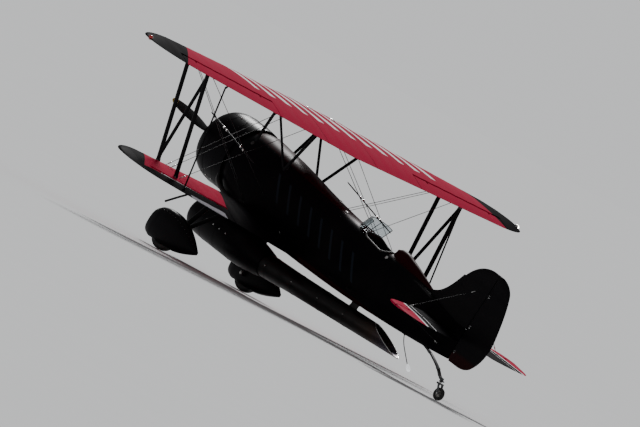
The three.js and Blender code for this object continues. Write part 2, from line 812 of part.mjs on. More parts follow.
// Propeller blade: radius, chord, thickness, pitch in degrees
const bladeTable = [
  { radius: 60, chord: 74, thick: 70, pitch: 58 },
  { radius: 190, chord: 92, thick: 58, pitch: 52 },
  { radius: 340, chord: 150, thick: 34, pitch: 42 },
  { radius: 620, chord: 178, thick: 22, pitch: 30 },
  { radius: 900, chord: 160, thick: 15, pitch: 23 },
  { radius: 1120, chord: 118, thick: 10, pitch: 19 },
  { radius: 1215, chord: 74, thick: 8, pitch: 17 },
  { radius: propRadius, chord: 26, thick: 6, pitch: 16 },
];

function blade() {
  const count = 14;
  const rings = bladeTable.map(({ radius, chord, thick, pitch }) => {
    const ring = [];
    for (let k = 0; k < count; k += 1) {
      const turn = (2 * Math.PI * (k + 0.5)) / count;
      const wide = (chord / 2) * Math.cos(turn);
      const deep = (thick / 2) * Math.sin(turn);
      const lean = degrees(pitch);
      ring.push(new THREE.Vector3(
        wide * Math.sin(lean) + deep * Math.cos(lean),
        radius,
        wide * Math.cos(lean) - deep * Math.sin(lean),
      ));
    }
    return ring;
  });
  return loft(rings);
}

function propeller() {
  const hub = turnedAft([[-190, 0], [-180, 30], [-130, 62], [-70, 82], [60, 88], [110, 88],
    [140 - 4, 60], [140 - 4, 0]], 20);
  const boreRadius = boreFor(shaftRadius, 16);
  const bore = turnedAft([[-60 - moveGap, 0], [-60 - moveGap, boreRadius],
    [200, boreRadius], [200, 0]], 16);
  const one = blade();
  const other = one.clone().rotateX(Math.PI);
  const whole = solid(hub).add(solid(one)).add(solid(other)).subtract(solid(bore));
  return surface(whole).rotateX(propTurn);
}

// Main wheels
function tyreProfile(radius, width, rim) {
  const side = width / 2;
  const inner = rim + 2;
  const deep = radius - inner;
  const half = [[0.62, 0], [0.95, 0.3], [1, 0.55], [0.82, 0.88], [0.3, 1]];
  const near = half.map(([wide, high]) => [-side * wide, inner + deep * high]);
  const far = half.map(([wide, high]) => [side * wide, inner + deep * high]).reverse();
  return [...near, ...far];
}

function hubProfile(width, rim, bore) {
  const side = width / 2;
  return [
    [-side * 0.5, bore], [-side * 0.5, bore * 2], [-side * 0.3, rim * 0.86],
    [-side * 0.62, rim + 2 - seatGap], [side * 0.62, rim + 2 - seatGap],
    [side * 0.3, rim * 0.86], [side * 0.5, bore * 2], [side * 0.5, bore],
  ];
}

const wheelSegments = 24;
const rimRadius = 150;
const tailRimRadius = 52;

// Wheel fairing: station, top, bottom, half width, squareness
const spatTable = [
  { station: 1005, top: -1420, bottom: -1560, half: 34, power: 2.2 },
  { station: 1035, top: -1325, bottom: -1640, half: 88, power: 2.4 },
  { station: 1120, top: -1228, bottom: -1696, half: 126, power: 2.8 },
  { station: 1270, top: -1168, bottom: -1714, half: 146, power: 3 },
  { station: 1460, top: -1150, bottom: -1716, half: 150, power: 3 },
  { station: 1680, top: -1180, bottom: -1692, half: 140, power: 3 },
  { station: 1920, top: -1268, bottom: -1630, half: 106, power: 2.6 },
  { station: 2120, top: -1375, bottom: -1552, half: 54, power: 2.3 },
  { station: 2235, top: -1446, bottom: -1500, half: 14, power: 2 },
];
const spatSides = 16;
const wellGap = 24;
const wellHalf = 84;

function spat() {
  const shell = solid(loft(spatTable.map((row) => ovalRing({ ...row, y: wheel.y }, spatSides))));
  const well = rodBetween(at(wheel.station, wheel.y - wellHalf, wheel.z),
    at(wheel.station, wheel.y + wellHalf, wheel.z), wheel.radius + wellGap, 20);
  const mouth = boxBetween(
    at(wheel.station + wheel.radius + wellGap - 6, wheel.y - wellHalf, wheel.z - 400),
    at(wheel.station - wheel.radius - wellGap + 6, wheel.y + wellHalf, wheel.z));
  const axleHole = rodBetween(at(wheel.station, 0, wheel.z), at(wheel.station, wheel.y, wheel.z),
    axleRadius + seatGap, 16);
  return shell.subtract(solid(well)).subtract(solid(mouth)).subtract(solid(axleHole));
}

// Gear leg: two struts in a V, the knuckle that they meet in, and the axle
const legTop = { front: 1330, rear: 1790, y: 310, z: -560 };
const legFoot = { y: 850, z: -1430 };

function gearLeg() {
  const knuckleHalf = 26;
  const foot = at(wheel.station, legFoot.y, legFoot.z);
  const front = strutBetween(foot, at(legTop.front, legTop.y, legTop.z), 96, 40);
  const rear = strutBetween(foot, at(legTop.rear, legTop.y, legTop.z), 84, 36);
  const knuckle = boxBetween(
    at(wheel.station + 46, legFoot.y - knuckleHalf, wheel.z - 40),
    at(wheel.station - 46, legFoot.y + knuckleHalf, legFoot.z + 40));
  const axle = rodBetween(at(wheel.station, legFoot.y, wheel.z),
    at(wheel.station, wheel.y + 62, wheel.z), axleRadius, 16);
  const spatSpace = loft(spatTable.map((row) => ovalRing({ ...row, y: wheel.y }, spatSides, seatGap)));
  const legs = solid(front).add(solid(rear)).add(solid(knuckle)).subtract(solid(spatSpace));
  return legs.add(solid(axle)).subtract(grownHull);
}

// Tail spring, fork and wheel
const springTable = [
  { station: 6280, z: -535 }, { station: 6560, z: -592 }, { station: 6820, z: -690 },
  { station: 6960, z: -775 }, { station: 7080, z: -811 },
];
const springWide = 64;
const springThick = 26;
const housing = { low: 4, high: 77, radius: 30 }; // heights over the fork's crown

// The kingpin stands upright on the ground, so what turns on it is drawn from its foot
function onKingpin(geometry) {
  return solid(geometry.rotateY(parkPitch).translate(-kingpin.station, 0, kingpin.z));
}

function tailSpring() {
  const curve = new THREE.CatmullRomCurve3(springTable.map(({ station, z }) => at(station, 0, z)));
  const corners = [[-1, -1], [1, -1], [1, 1], [-1, 1]];
  const rings = [];
  const steps = 12;
  for (let k = 0; k <= steps; k += 1) {
    const point = curve.getPointAt(k / steps);
    const along = curve.getTangentAt(k / steps);
    const normal = new THREE.Vector3(-along.z, 0, along.x);
    rings.push(corners.map(([high, wide]) => point.clone()
      .addScaledVector(normal, (high * springThick) / 2)
      .add(new THREE.Vector3(0, (wide * springWide) / 2, 0))));
  }
  const sleeve = rodBetween(at(0, 0, housing.low), at(0, 0, housing.high), housing.radius, 16);
  const bore = rodBetween(at(0, 0, -40), at(0, 0, housing.high + 20), boreFor(kingpin.radius, 14), 14);
  return solid(loft(rings)).add(onKingpin(sleeve)).subtract(onKingpin(bore)).subtract(grownHull);
}

function tailFork() {
  const armGap = tailWheel.width / 2 + moveGap;
  const armThick = 10;
  const axle = at(tailWheel.station, 0, tailWheel.z)
    .sub(at(kingpin.station, 0, kingpin.z))
    .applyAxisAngle(new THREE.Vector3(0, 1, 0), -parkPitch);
  const across = armGap + armThick;
  const crown = boxBetween(at(60, -across, -34), at(-34, across, -5));
  const pin = rodBetween(at(0, 0, -20), at(0, 0, housing.high - 26), kingpin.radius, 14);
  const onAxle = (y) => axle.clone().add(new THREE.Vector3(0, y, 0));
  let fork = onKingpin(crown).add(onKingpin(pin));
  for (const side of [1, -1]) {
    const y = side * (armGap + armThick / 2);
    const arm = strutBetween(at(22, y, -20), onAxle(y), 46, armThick);
    const boss = rodBetween(onAxle(y - armThick / 2), onAxle(y + armThick / 2), 20, 16);
    fork = fork.add(onKingpin(arm)).add(onKingpin(boss));
  }
  const reach = armGap + 4;
  return fork.add(onKingpin(rodBetween(onAxle(-reach), onAxle(reach), tailPinRadius, 14)));
}

// Jet pod: a duct open at the front, with the engine inside
const podShape = [
  [820, 240], [840, 268], [950, 288], [1190, 300], [1890, 300], [2280, 268], [2640, 205],
];
const podSegments = 24;
const podInside = [
  [2640, 193], [2480, 200], [2230, 252], [1880, 266], [1330, 250], [990, 224], [835, 230],
];

function jetEngine() {
  const fit = 250 - seatGap;
  return turnedAft([
    [1120, 0], [1150, 36], [1300, 84], [1330, fit], [1870, fit], [2200, fit - 6], [2280, 150],
    [2440, 90], [2500, 0],
  ], podSegments).translate(0, 0, podZ);
}

function pylon() {
  const grown = podShape.map(([station, radius]) => [station, radius + seatGap]);
  const podSpace = turnedAft([[780, 0], ...grown, [2670, 0]], podSegments).translate(0, 0, podZ);
  const blades = strutBetween(at(1850, 0, podZ + 40), at(1850, 0, -560), 1050, 96);
  return solid(blades).subtract(grownHull).subtract(solid(podSpace));
}

function tailpipe() {
  const length = pipe.rear - pipe.front;
  const tilt = Math.atan(pipe.slope);
  const start = { outer: 193 - seatGap, inner: 193 - seatGap - pipeWall };
  const profile = [
    [0, start.inner], [0, start.outer], [pipeStraight - 15, start.outer],
    [pipeStraight, pipe.frontRadius + 4], [900, 172], [length, pipe.rearRadius],
    [length, pipe.rearRadius - pipeWall], [900, 172 - pipeWall],
    [pipeStraight, pipe.frontRadius - pipeWall], [pipeStraight - 15, start.inner],
  ];
  return { profile, tilt, length };
}

function tailpipeSolid() {
  const { profile, tilt, length } = tailpipe();
  const tube = turnedAft(profile, podSegments, true);
  tube.translate(-pipe.front, 0, podZ);
  const bend = tube.attributes.position;
  const straight = pipe.front + pipeStraight;
  for (let k = 0; k < bend.count; k += 1) {
    const aft = -bend.getX(k) - straight;
    if (aft > 0) {
      bend.setZ(k, bend.getZ(k) + aft * Math.tan(tilt));
    }
  }
  const cutTop = { station: 5260, z: -740 };
  const cutLow = { station: 6010, z: -975 };
  const slope = Math.atan2(cutTop.z - cutLow.z, cutLow.station - cutTop.station);
  const cutter = new THREE.BoxGeometry(3000, 1200, 1200);
  cutter.translate(0, 0, 600);
  cutter.rotateY(-slope);
  const middle = at((cutTop.station + cutLow.station) / 2, 0, (cutTop.z + cutLow.z) / 2);
  cutter.translate(middle.x, middle.y, middle.z);
  const rearLimit = boxBetween(at(pipe.front + length + 500, -400, -1400), at(6060, 400, 0));
  const hanger = strutBetween(at(4650, 0, -840), at(4650, 0, -640), 180, 26);
  return solid(tube).subtract(solid(cutter)).subtract(solid(rearLimit))
    .add(solid(hanger).subtract(grownHull).subtract(pipeCore(profile, tilt)));
}

function pipeCore(profile, tilt) {
  const core = turnedAft([[0, 0], [0, 142], [3400, 142], [3400, 0]], 16);
  core.translate(-pipe.front, 0, podZ);
  const points = core.attributes.position;
  const straight = pipe.front + pipeStraight;
  for (let k = 0; k < points.count; k += 1) {
    const aft = -points.getX(k) - straight;
    if (aft > 0) {
      points.setZ(k, points.getZ(k) + aft * Math.tan(tilt));
    }
  }
  return solid(core);
}

// The fuselage with its cockpit, the torque tube's bore and the rudder's lowest lug
function fuselage() {
  const sternLug = lugOn(tailFeathers.frame, tailFeathers.sternLug, noseRadius);
  return hull()
    .subtract(cockpitSpace())
    .subtract(torqueTubeBore())
    .add(sternLug)
    .subtract(lugBore(tailFeathers.frame, tailFeathers.sternLug));
}

// Assembly
const airframe = new THREE.Group();
airframe.name = "biplane";

function piece(name, geometry, material, place = new THREE.Vector3()) {
  const mesh = new THREE.Mesh(geometry, material);
  mesh.name = name;
  mesh.position.copy(place);
  airframe.add(mesh);
  return mesh;
}

piece("fuselage", surface(fuselage()), blackPaint);
piece("headrest_fairing", surface(headrest()), blackPaint);
piece("windshield", surface(windshield()), clearPanel);
piece("instrument_panel", surface(instrumentPanel()), blackPaint);
piece("seat", welded(seat()), leather);
piece("control_stick", surface(controlStick()), castMetal);
piece("engine_cowl", welded(turnedAft(cowlProfile, cowlSegments, true)), blackPaint);
piece("radial_engine", surface(engine()), castMetal);
piece("propeller", propeller(), bladeMetal, at(propStation, 0, 0));
piece("wing_centre", centreSection, redPaint);
piece("fin", surface(tailFeathers.fin), blackPaint);
piece("rudder", surface(tailFeathers.rudder), blackPaint);
piece("jet_pod", welded(turnedAft([...podShape, ...podInside], podSegments, true).translate(0, 0, podZ)),
  blackPaint);
piece("jet_engine", welded(jetEngine()), castMetal);
piece("pod_pylon", surface(pylon()), blackPaint);
piece("tailpipe", surface(tailpipeSolid()), steel);
piece("tail_spring", surface(tailSpring()), castMetal);
piece("tail_fork", surface(tailFork()), castMetal);
piece("tail_tyre", welded(turnedAcross(
  tyreProfile(tailWheel.radius, tailWheel.width, tailRimRadius), 20, true)),
rubber, at(tailWheel.station, 0, tailWheel.z));
piece("tail_hub", welded(turnedAcross(
  hubProfile(tailWheel.width, tailRimRadius, boreFor(tailPinRadius, 14)), 20, true)),
castMetal, at(tailWheel.station, 0, tailWheel.z));

for (const [word, side] of [["left", 1], ["right", -1]]) {
  const sided = (manifold) => sideOf(surface(manifold), side);
  const hubPlace = at(wheel.station, side * wheel.y, wheel.z);
  piece(`upper_wing_${word}`, sided(upperWing.wing), redPaint);
  piece(`lower_wing_${word}`, sided(lowerWingSolid), redPaint);
  piece(`upper_aileron_${word}`, sided(upperAileron), redPaint);
  piece(`lower_aileron_${word}`, sided(lowerAileron), redPaint);
  piece(`aileron_link_${word}`, sided(aileronLink()), blackPaint);
  piece(`wing_struts_${word}`, sided(interplaneStruts()), blackPaint);
  piece(`cabane_struts_${word}`, sided(cabaneStruts()), blackPaint);
  piece(`flying_wire_${word}`, sided(flyingWire()), steel);
  piece(`landing_wire_${word}`, sided(landingWire()), steel);
  piece(`gear_leg_${word}`, sided(gearLeg()), blackPaint);
  piece(`wheel_spat_${word}`, sided(spat()), blackPaint);
  piece(`main_tyre_${word}`, welded(turnedAcross(
    tyreProfile(wheel.radius, wheel.width, rimRadius), wheelSegments, true)), rubber, hubPlace);
  piece(`main_hub_${word}`, welded(turnedAcross(
    hubProfile(wheel.width, rimRadius, boreFor(axleRadius, 16)), wheelSegments, true)),
  castMetal, hubPlace);
  piece(`stabilizer_${word}`, sided(tail.stabilizer), redPaint);
  piece(`elevator_${word}`, sided(tail.elevator), redPaint);
}

// Hinge lines in the flight frame: a point on each and its direction
const ahead = new THREE.Vector3(1, 0, 0);
const across = new THREE.Vector3(0, 1, 0);
const upward = new THREE.Vector3(0, 0, 1);
const hinges = {
  propeller_spin: { point: at(propStation, 0, 0), axis: ahead },
  tail_fork_steer: {
    point: at(kingpin.station, 0, kingpin.z),
    axis: upward.clone().applyAxisAngle(across, parkPitch),
  },
  tail_wheel_spin: { point: at(tailWheel.station, 0, tailWheel.z), axis: across },
  rudder_turn: { point: at(rudderHinge, 0, 0), axis: upward },
  elevator_turn: { point: at(elevatorHinge, 0, tailPlaneZ), axis: across },
};
for (const [word, side] of [["left", 1], ["right", -1]]) {
  const lineOf = ({ from, to }) => ({
    point: from.clone().multiply(new THREE.Vector3(1, side, 1)),
    axis: to.clone().sub(from).normalize().multiply(new THREE.Vector3(side, 1, side)),
  });
  hinges[`wheel_spin_${word}`] = { point: at(wheel.station, side * wheel.y, wheel.z), axis: across };
  hinges[`upper_aileron_turn_${word}`] = lineOf(upperWing);
  hinges[`lower_aileron_turn_${word}`] = lineOf(lowerWing);
  hinges[`aileron_link_turn_${word}`] = {
    point: lowerPin.pin.clone().multiply(new THREE.Vector3(1, side, 1)),
    axis: lineOf(lowerWing).axis,
  };
}
airframe.userData.hinges = hinges;

// Parked, with the origin on the ground under the middle of the whole aircraft
airframe.rotation.y = -parkPitch;
airframe.updateMatrixWorld(true);
const extent = new THREE.Box3().setFromObject(airframe, true);
airframe.position.set(-(extent.min.x + extent.max.x) / 2, 0, -extent.min.z);
airframe.updateMatrixWorld(true);

export default airframe;
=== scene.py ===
# Looks for an open-cockpit biplane with tapered wings, a radial engine and a jet pod.
# Sizes are millimetres in the flight frame: a station is a distance aft of the propeller hub,
# y is to the left and z is up. Each mesh is turned to the parked attitude when it is made.
import json
import math

import bmesh
import bpy
import numpy as np
from mathutils import Matrix, Vector


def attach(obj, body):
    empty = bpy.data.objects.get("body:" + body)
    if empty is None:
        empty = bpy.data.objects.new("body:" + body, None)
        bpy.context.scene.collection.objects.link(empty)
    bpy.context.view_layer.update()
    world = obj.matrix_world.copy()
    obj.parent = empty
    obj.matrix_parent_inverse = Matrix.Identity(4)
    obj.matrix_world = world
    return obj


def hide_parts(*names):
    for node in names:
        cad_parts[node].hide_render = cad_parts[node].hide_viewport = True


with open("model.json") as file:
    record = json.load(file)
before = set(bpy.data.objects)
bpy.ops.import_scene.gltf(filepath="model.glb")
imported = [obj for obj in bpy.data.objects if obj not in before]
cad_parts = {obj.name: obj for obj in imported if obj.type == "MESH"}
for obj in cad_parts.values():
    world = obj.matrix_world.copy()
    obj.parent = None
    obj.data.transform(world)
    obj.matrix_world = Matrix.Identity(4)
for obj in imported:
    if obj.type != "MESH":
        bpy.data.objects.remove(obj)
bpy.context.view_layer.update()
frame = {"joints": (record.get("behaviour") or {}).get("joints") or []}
print("frame loaded")

hubToAxle = 0.19  # metres from the flight frame's zero to the propeller joint
sides = (("left", 1), ("right", -1))
spin = next(joint for joint in frame["joints"] if joint["name"] == "propeller_spin")
ahead = Vector(spin["axis"]).normalized()
above = Vector((-ahead.z, 0, ahead.x))
hub = Vector(spin["pos_m"]) + ahead * hubToAxle
turn = np.array([[ahead.x, 0, above.x], [0, 1, 0], [ahead.z, 0, above.z]])
parkPitch = math.atan2(ahead.z, ahead.x)
rowMatrix = Matrix.Translation(hub) @ Matrix([list(r) for r in turn]).to_4x4() @ Matrix.Scale(0.001, 4)


def at(station, y, z):
    return np.array([-station, y, z], float)


def toRow(points):
    return np.asarray(points, float) * 0.001 @ turn.T + np.array(hub)


def unit(vector):
    return np.asarray(vector, float) / np.linalg.norm(vector)


def turns(count, start=0.5):
    return 2 * math.pi * (np.arange(count) + start) / count


# Quarter of a cosine from 0 to 1: steps that are close together at the start
def easedIn(low, high, count, start=0.0):
    return low + (high - low) * (1 - np.cos(np.linspace(start, 1, count) * math.pi / 2))


# Quarter of a sine from 0 to 1: steps that are close together at the end
def easedOut(low, high, count):
    return low + (high - low) * np.sin(np.linspace(0, 1, count) * math.pi / 2)


# Shapes are pairs of points and faces, and a third item picks the piece's material
def loft(rings, caps=True):
    rings = np.asarray(rings, float)
    rows, count = rings.shape[:2]
    faces = []
    for r in range(rows - 1):
        for k in range(count):
            a, b = r * count + k, r * count + (k + 1) % count
            faces.append((a, b, b + count, a + count))
    if caps:
        faces += [tuple(range(count)), tuple(reversed(range((rows - 1) * count, rows * count)))]
    return rings.reshape(-1, 3), faces


def axes(direction):
    along = unit(direction)
    side = unit(np.cross(along, (1, 0, 0) if abs(along[0]) < 0.8 else (0, 0, 1)))
    return along, side, np.cross(along, side)


# A body of revolution from [distance along, radius] pairs
def turned(profile, origin, direction, segments=24, loop=False):
    along, u, v = axes(direction)
    angle = turns(segments)
    ring = np.outer(np.cos(angle), u) + np.outer(np.sin(angle), v)
    rings = [np.asarray(origin) + t * along + r * ring for t, r in profile]
    if loop:
        rings.append(rings[0])
    return loft(rings, not loop)


def aft(profile, segments=48, z=0, loop=False):
    return turned(profile, at(0, 0, z), (-1, 0, 0), segments, loop)


def rod(a, b, radius, segments=10, ends=0.0):
    a, b = np.asarray(a, float), np.asarray(b, float)
    length = np.linalg.norm(b - a)
    profile = [(0, radius), (length, radius)]
    if ends:
        profile = [(0, 0), (0, radius * 0.7), (ends, radius), (length - ends, radius),
                   (length, radius * 0.7), (length, 0)]
    return turned(profile, a, b - a, segments)


def tube(path, radius, segments=10):
    path = np.asarray(path, float)
    radii = np.broadcast_to(np.asarray(radius, float), (len(path),))
    tangents = np.gradient(path, axis=0)
    tangents /= np.linalg.norm(tangents, axis=1)[:, None]
    side = axes(tangents[0])[1]
    angle = turns(segments, 0)
    rings = []
    for point, tangent, r in zip(path, tangents, radii):
        side = unit(side - tangent * side.dot(tangent))
        other = np.cross(tangent, side)
        rings.append(point + r * (np.outer(np.cos(angle), side) + np.outer(np.sin(angle), other)))
    return loft(rings)


def curve(points, steps=24):
    points = np.asarray(points, float)
    ends = np.vstack([2 * points[0] - points[1], points, 2 * points[-1] - points[-2]])
    made = []
    for k in range(1, len(ends) - 2):
        p0, p1, p2, p3 = ends[k - 1:k + 3]
        for t in np.linspace(0, 1, steps, endpoint=k == len(ends) - 3):
            made.append(0.5 * (2 * p1 + (p2 - p0) * t + (2 * p0 - 5 * p1 + 4 * p2 - p3) * t ** 2
                               + (3 * p1 - p0 - 3 * p2 + p3) * t ** 3))
    return np.array(made)


# A smooth curve through rows of (station, y, z)
def through(*rows, steps=8):
    return curve([at(*row) for row in rows], steps)


# A streamlined strut, its blunt side forward, with a wider cuff at each end
def strut(a, b, chord, thick, cuff=0.0, count=22):
    a, b = np.asarray(a, float), np.asarray(b, float)
    along, length = unit(b - a), np.linalg.norm(b - a)
    flow = unit(np.array([1.0, 0, 0]) - along * along[0])
    angle = turns(count, 0)
    wide = np.sin(angle) * (1 + 0.35 * np.cos(angle)) * 0.93
    outline = np.outer(np.cos(angle) * chord / 2, flow) + np.outer(wide * thick / 2, np.cross(along, flow))
    places = [(0, 1), (length, 1)]
    if cuff:
        places = [(0, 1 + cuff), (34, 1 + cuff), (52, 1), (length - 52, 1),
                  (length - 34, 1 + cuff), (length, 1 + cuff)]
    return loft([a + along * t + outline * s for t, s in places])


def box(low, high, bevel=3.0):
    low, high = np.minimum(low, high), np.maximum(low, high)
    middle, half = (low + high) / 2, (high - low) / 2
    rings = []
    for z, inset in ((-half[2], bevel), (-half[2] + bevel, 0), (half[2] - bevel, 0), (half[2], bevel)):
        x, y = half[0] - inset, half[1] - inset
        c = bevel
        ring = [(x, y - c), (x - c, y), (c - x, y), (-x, y - c), (-x, c - y), (c - x, -y), (x - c, -y),
                (x, c - y)]
        rings.append([middle + np.array((px, py, z)) for px, py in ring])
    return loft(rings)


def oval(row, count, grow=0.0, y=0.0):
    station, top, bottom, half, power = row
    angle = turns(count)
    side = np.sign(np.sin(angle)) * np.abs(np.sin(angle)) ** (2 / power)
    rise = np.sign(np.cos(angle)) * np.abs(np.cos(angle)) ** (2 / power)
    return np.column_stack([np.full(count, -station), y + (half + grow) * side,
                            (top + bottom) / 2 + ((top - bottom) / 2 + grow) * rise])


# A row of a table, read at a station along a smooth curve
def between(table, station):
    table = np.asarray(table, float)
    x = table[:, 0]
    slopes = np.gradient(table, x, axis=0)
    k = int(np.clip(np.searchsorted(x, station) - 1, 0, len(x) - 2))
    h = x[k + 1] - x[k]
    t = (station - x[k]) / h
    row = ((2 * t ** 3 - 3 * t ** 2 + 1) * table[k] + (t ** 3 - 2 * t ** 2 + t) * h * slopes[k]
           + (3 * t ** 2 - 2 * t ** 3) * table[k + 1] + (t ** 3 - t ** 2) * h * slopes[k + 1])
    row[0] = station
    return row


# A plate: an outline of (x, z) pairs, carried through the given y planes
def plate(outline, ys):
    x, z = np.array(outline, float).T
    return loft([np.column_stack([x, np.full(len(x), y), z]) for y in ys])


# A level outline of (station, y) pairs at a height
def levelRing(outline, z):
    return np.column_stack([-outline[:, 0], outline[:, 1], np.full(len(outline), z)])


# A raised band: ring(shift, grow) drawn at four places across its width
def raised(ring, half, grow, sunk=-1.0, edge=1.0):
    return loft([ring(w, g) for w, g in ((-half, sunk), (edge - half, grow), (half - edge, grow),
                                         (half, sunk))])


def mirrored(part):
    points = np.array(part[0])
    points[:, 1] *= -1
    return (points, [tuple(reversed(face)) for face in part[1]], *part[2:])


def sided(parts, side):
    return parts if side > 0 else [mirrored(part) for part in parts]


def plainMesh(name, parts):
    points, faces, slots, start = [], [], [], 0
    for part in parts:
        points.append(part[0])
        faces += [tuple(int(i) + start for i in face) for face in part[1]]
        slots += [part[2] if len(part) > 2 else 0] * len(part[1])
        start += len(part[0])
    mesh = bpy.data.meshes.new(name)
    mesh.from_pydata(toRow(np.vstack(points)).tolist(), [], faces)
    mesh.polygons.foreach_set("material_index", slots)
    return mesh


def smoothed(mesh, sharpAngle):
    mesh.polygons.foreach_set("use_smooth", [True] * len(mesh.polygons))
    mesh.set_sharp_from_angle(angle=math.radians(sharpAngle))


def joined(mesh, distance=1e-5, thin=1e-6):
    shape = bmesh.new()
    shape.from_mesh(mesh)
    bmesh.ops.remove_doubles(shape, verts=shape.verts, dist=distance)
    if thin:
        bmesh.ops.dissolve_degenerate(shape, edges=shape.edges, dist=thin)
    bmesh.ops.recalc_face_normals(shape, faces=shape.faces)
    shape.to_mesh(mesh)
    shape.free()


def tidyMesh(mesh, sharpAngle=38):
    joined(mesh)
    smoothed(mesh, sharpAngle)
    return mesh


def linked(name, data):
    made = bpy.data.objects.new(name, data)
    bpy.context.scene.collection.objects.link(made)
    return made


def dress(mesh, materials, stands=(), body="airframe"):
    piece = linked(mesh.name, mesh)
    chosen = [face.material_index for face in mesh.polygons]
    mesh.materials.clear()
    for material in materials:
        mesh.materials.append(material)
    mesh.polygons.foreach_set("material_index", chosen)
    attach(piece, body)
    if stands:
        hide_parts(*stands)
    return piece


def make(name, parts, materials, stands=(), body="airframe", smooth=38):
    if not isinstance(materials, (list, tuple)):
        materials = [materials]
    return dress(tidyMesh(plainMesh(name, parts), smooth), materials, stands, body)


# The left and the right piece of one shape. The names that follow end in the side's word
def makeBoth(name, parts, materials, stands="", body="airframe", smooth=38):
    for word, side in sides:
        rides = body if body in ("airframe", "elevators") else f"{body}_{word}"
        make(f"{name}_{word}", sided(parts, side), materials, (f"{stands}_{word}",) if stands else (),
             rides, smooth)


def baked(piece):
    graph = bpy.context.evaluated_depsgraph_get()
    mesh = bpy.data.meshes.new_from_object(piece.evaluated_get(graph))
    mesh.name = piece.name
    return mesh


def carved(name, parts, cutters):
    piece = linked(name, tidyMesh(plainMesh(name, parts)))
    helpers = []
    for index, cutter in enumerate(cutters):
        cutterName = f"{name}Cutter{index}"
        helpers.append(linked(cutterName, tidyMesh(plainMesh(cutterName, cutter))))
        cut = piece.modifiers.new("cut", "BOOLEAN")
        cut.operation, cut.solver, cut.object = "DIFFERENCE", "EXACT", helpers[-1]
    result = baked(piece)
    for spare in (piece, *helpers):
        bpy.data.objects.remove(spare)
    tidyMesh(result)
    result.name = name
    return result


# A node tree with a short call for each node that is used more than once. Calls give back a socket
class Nodes:
    def __init__(self, tree):
        self.tree = tree

    def fill(self, made, inputs):
        for key, value in inputs.items():
            if isinstance(value, bpy.types.NodeSocket):
                self.tree.links.new(value, made.inputs[key])
            else:
                made.inputs[key].default_value = value
        return made.outputs

    def add(self, kind, inputs=None, out=0, **settings):
        made = self.tree.nodes.new(kind)
        for key, value in settings.items():
            setattr(made, key, value)
        return self.fill(made, inputs or {})[out]

    def maths(self, operation, *values):
        return self.add("ShaderNodeMath", dict(enumerate(values)), operation=operation)

    def times(self, first, *more):
        for value in more:
            first = self.maths("MULTIPLY", first, value)
        return first

    def scaled(self, value, factor, shift):
        return self.maths("MULTIPLY_ADD", value, factor, shift)

    def ramp(self, value, low, high):
        return self.add("ShaderNodeMapRange", {"Value": value, "From Min": low, "From Max": high})

    # 1 between low and high, with soft edges
    def band(self, value, low, high, soft=0.004):
        return self.times(self.ramp(value, low - soft, low + soft),
                          self.ramp(value, high + soft, high - soft))

    def mix(self, share, a, b):
        colours = {key: value if isinstance(value, bpy.types.NodeSocket) else (*value, 1)
                   for key, value in ((6, a), (7, b))}
        return self.add("ShaderNodeMix", {0: share, **colours}, 2, data_type="RGBA")

    def noise(self, place, scale, detail):
        return self.add("ShaderNodeTexNoise", {"Vector": place, "Scale": scale, "Detail": detail})

    def group(self, kind, **inputs):
        made = self.tree.nodes.new("ShaderNodeGroup")
        made.node_tree = groups[kind]
        return self.fill(made, inputs)


def newTree(kind, name, inputs, outputs):
    tree = bpy.data.node_groups.new(name, kind)
    for way, rows in (("OUTPUT", outputs), ("INPUT", inputs)):
        for label, socketKind, *value in rows:
            socket = tree.interface.new_socket(label, in_out=way, socket_type="NodeSocket" + socketKind)
            if value:
                socket.default_value = value[0]
    ends = tree.nodes.new("NodeGroupInput").outputs, tree.nodes.new("NodeGroupOutput").inputs
    return Nodes(tree), *ends


def newGrower(name, *inputs):
    return newTree("GeometryNodeTree", name, [("Geometry", "Geometry"), *inputs, ("Material", "Material")],
                   [("Geometry", "Geometry")])


def endGrower(nodes, shape, start, end):
    real = nodes.add("GeometryNodeRealizeInstances", {"Geometry": shape})
    painted = nodes.add("GeometryNodeSetMaterial", {"Geometry": real, "Material": start["Material"]})
    nodes.tree.links.new(painted, end[0])
    return nodes.tree


def evenPoints(nodes, start):
    line = nodes.add("GeometryNodeMeshToCurve", {"Mesh": start["Geometry"]})
    return nodes.add("GeometryNodeResampleCurve", {"Curve": line, "Length": start["Spacing"]}, mode="LENGTH")


# Round heads at an even spacing along a line
def rivetTree():
    nodes, start, end = newGrower("rivetsAlongLine", ("Spacing", "Float", 0.04), ("Head", "Float", 0.004))
    head = nodes.add("GeometryNodeMeshUVSphere", {"Segments": 7, "Rings": 4, "Radius": start["Head"]})
    heads = nodes.add("GeometryNodeInstanceOnPoints", {"Points": evenPoints(nodes, start), "Instance": head})
    return endGrower(nodes, heads, start, end)


# Thread stitches that lie along a line
def stitchTree():
    nodes, start, end = newGrower("stitchesAlongLine", ("Spacing", "Float", 0.008),
                                  ("Length", "Float", 0.005), ("Thickness", "Float", 0.0007))
    thread = nodes.add("GeometryNodeMeshUVSphere", {"Segments": 6, "Rings": 4, "Radius": 0.5})
    size = nodes.add("ShaderNodeCombineXYZ", {"X": start["Length"], "Y": start["Thickness"],
                                              "Z": start["Thickness"]})
    aim = nodes.add("FunctionNodeAlignRotationToVector",
                    {"Vector": nodes.add("GeometryNodeInputTangent")}, axis="X")
    rows = nodes.add("GeometryNodeInstanceOnPoints", {
        "Points": evenPoints(nodes, start), "Instance": thread, "Rotation": aim, "Scale": size})
    return endGrower(nodes, rows, start, end)


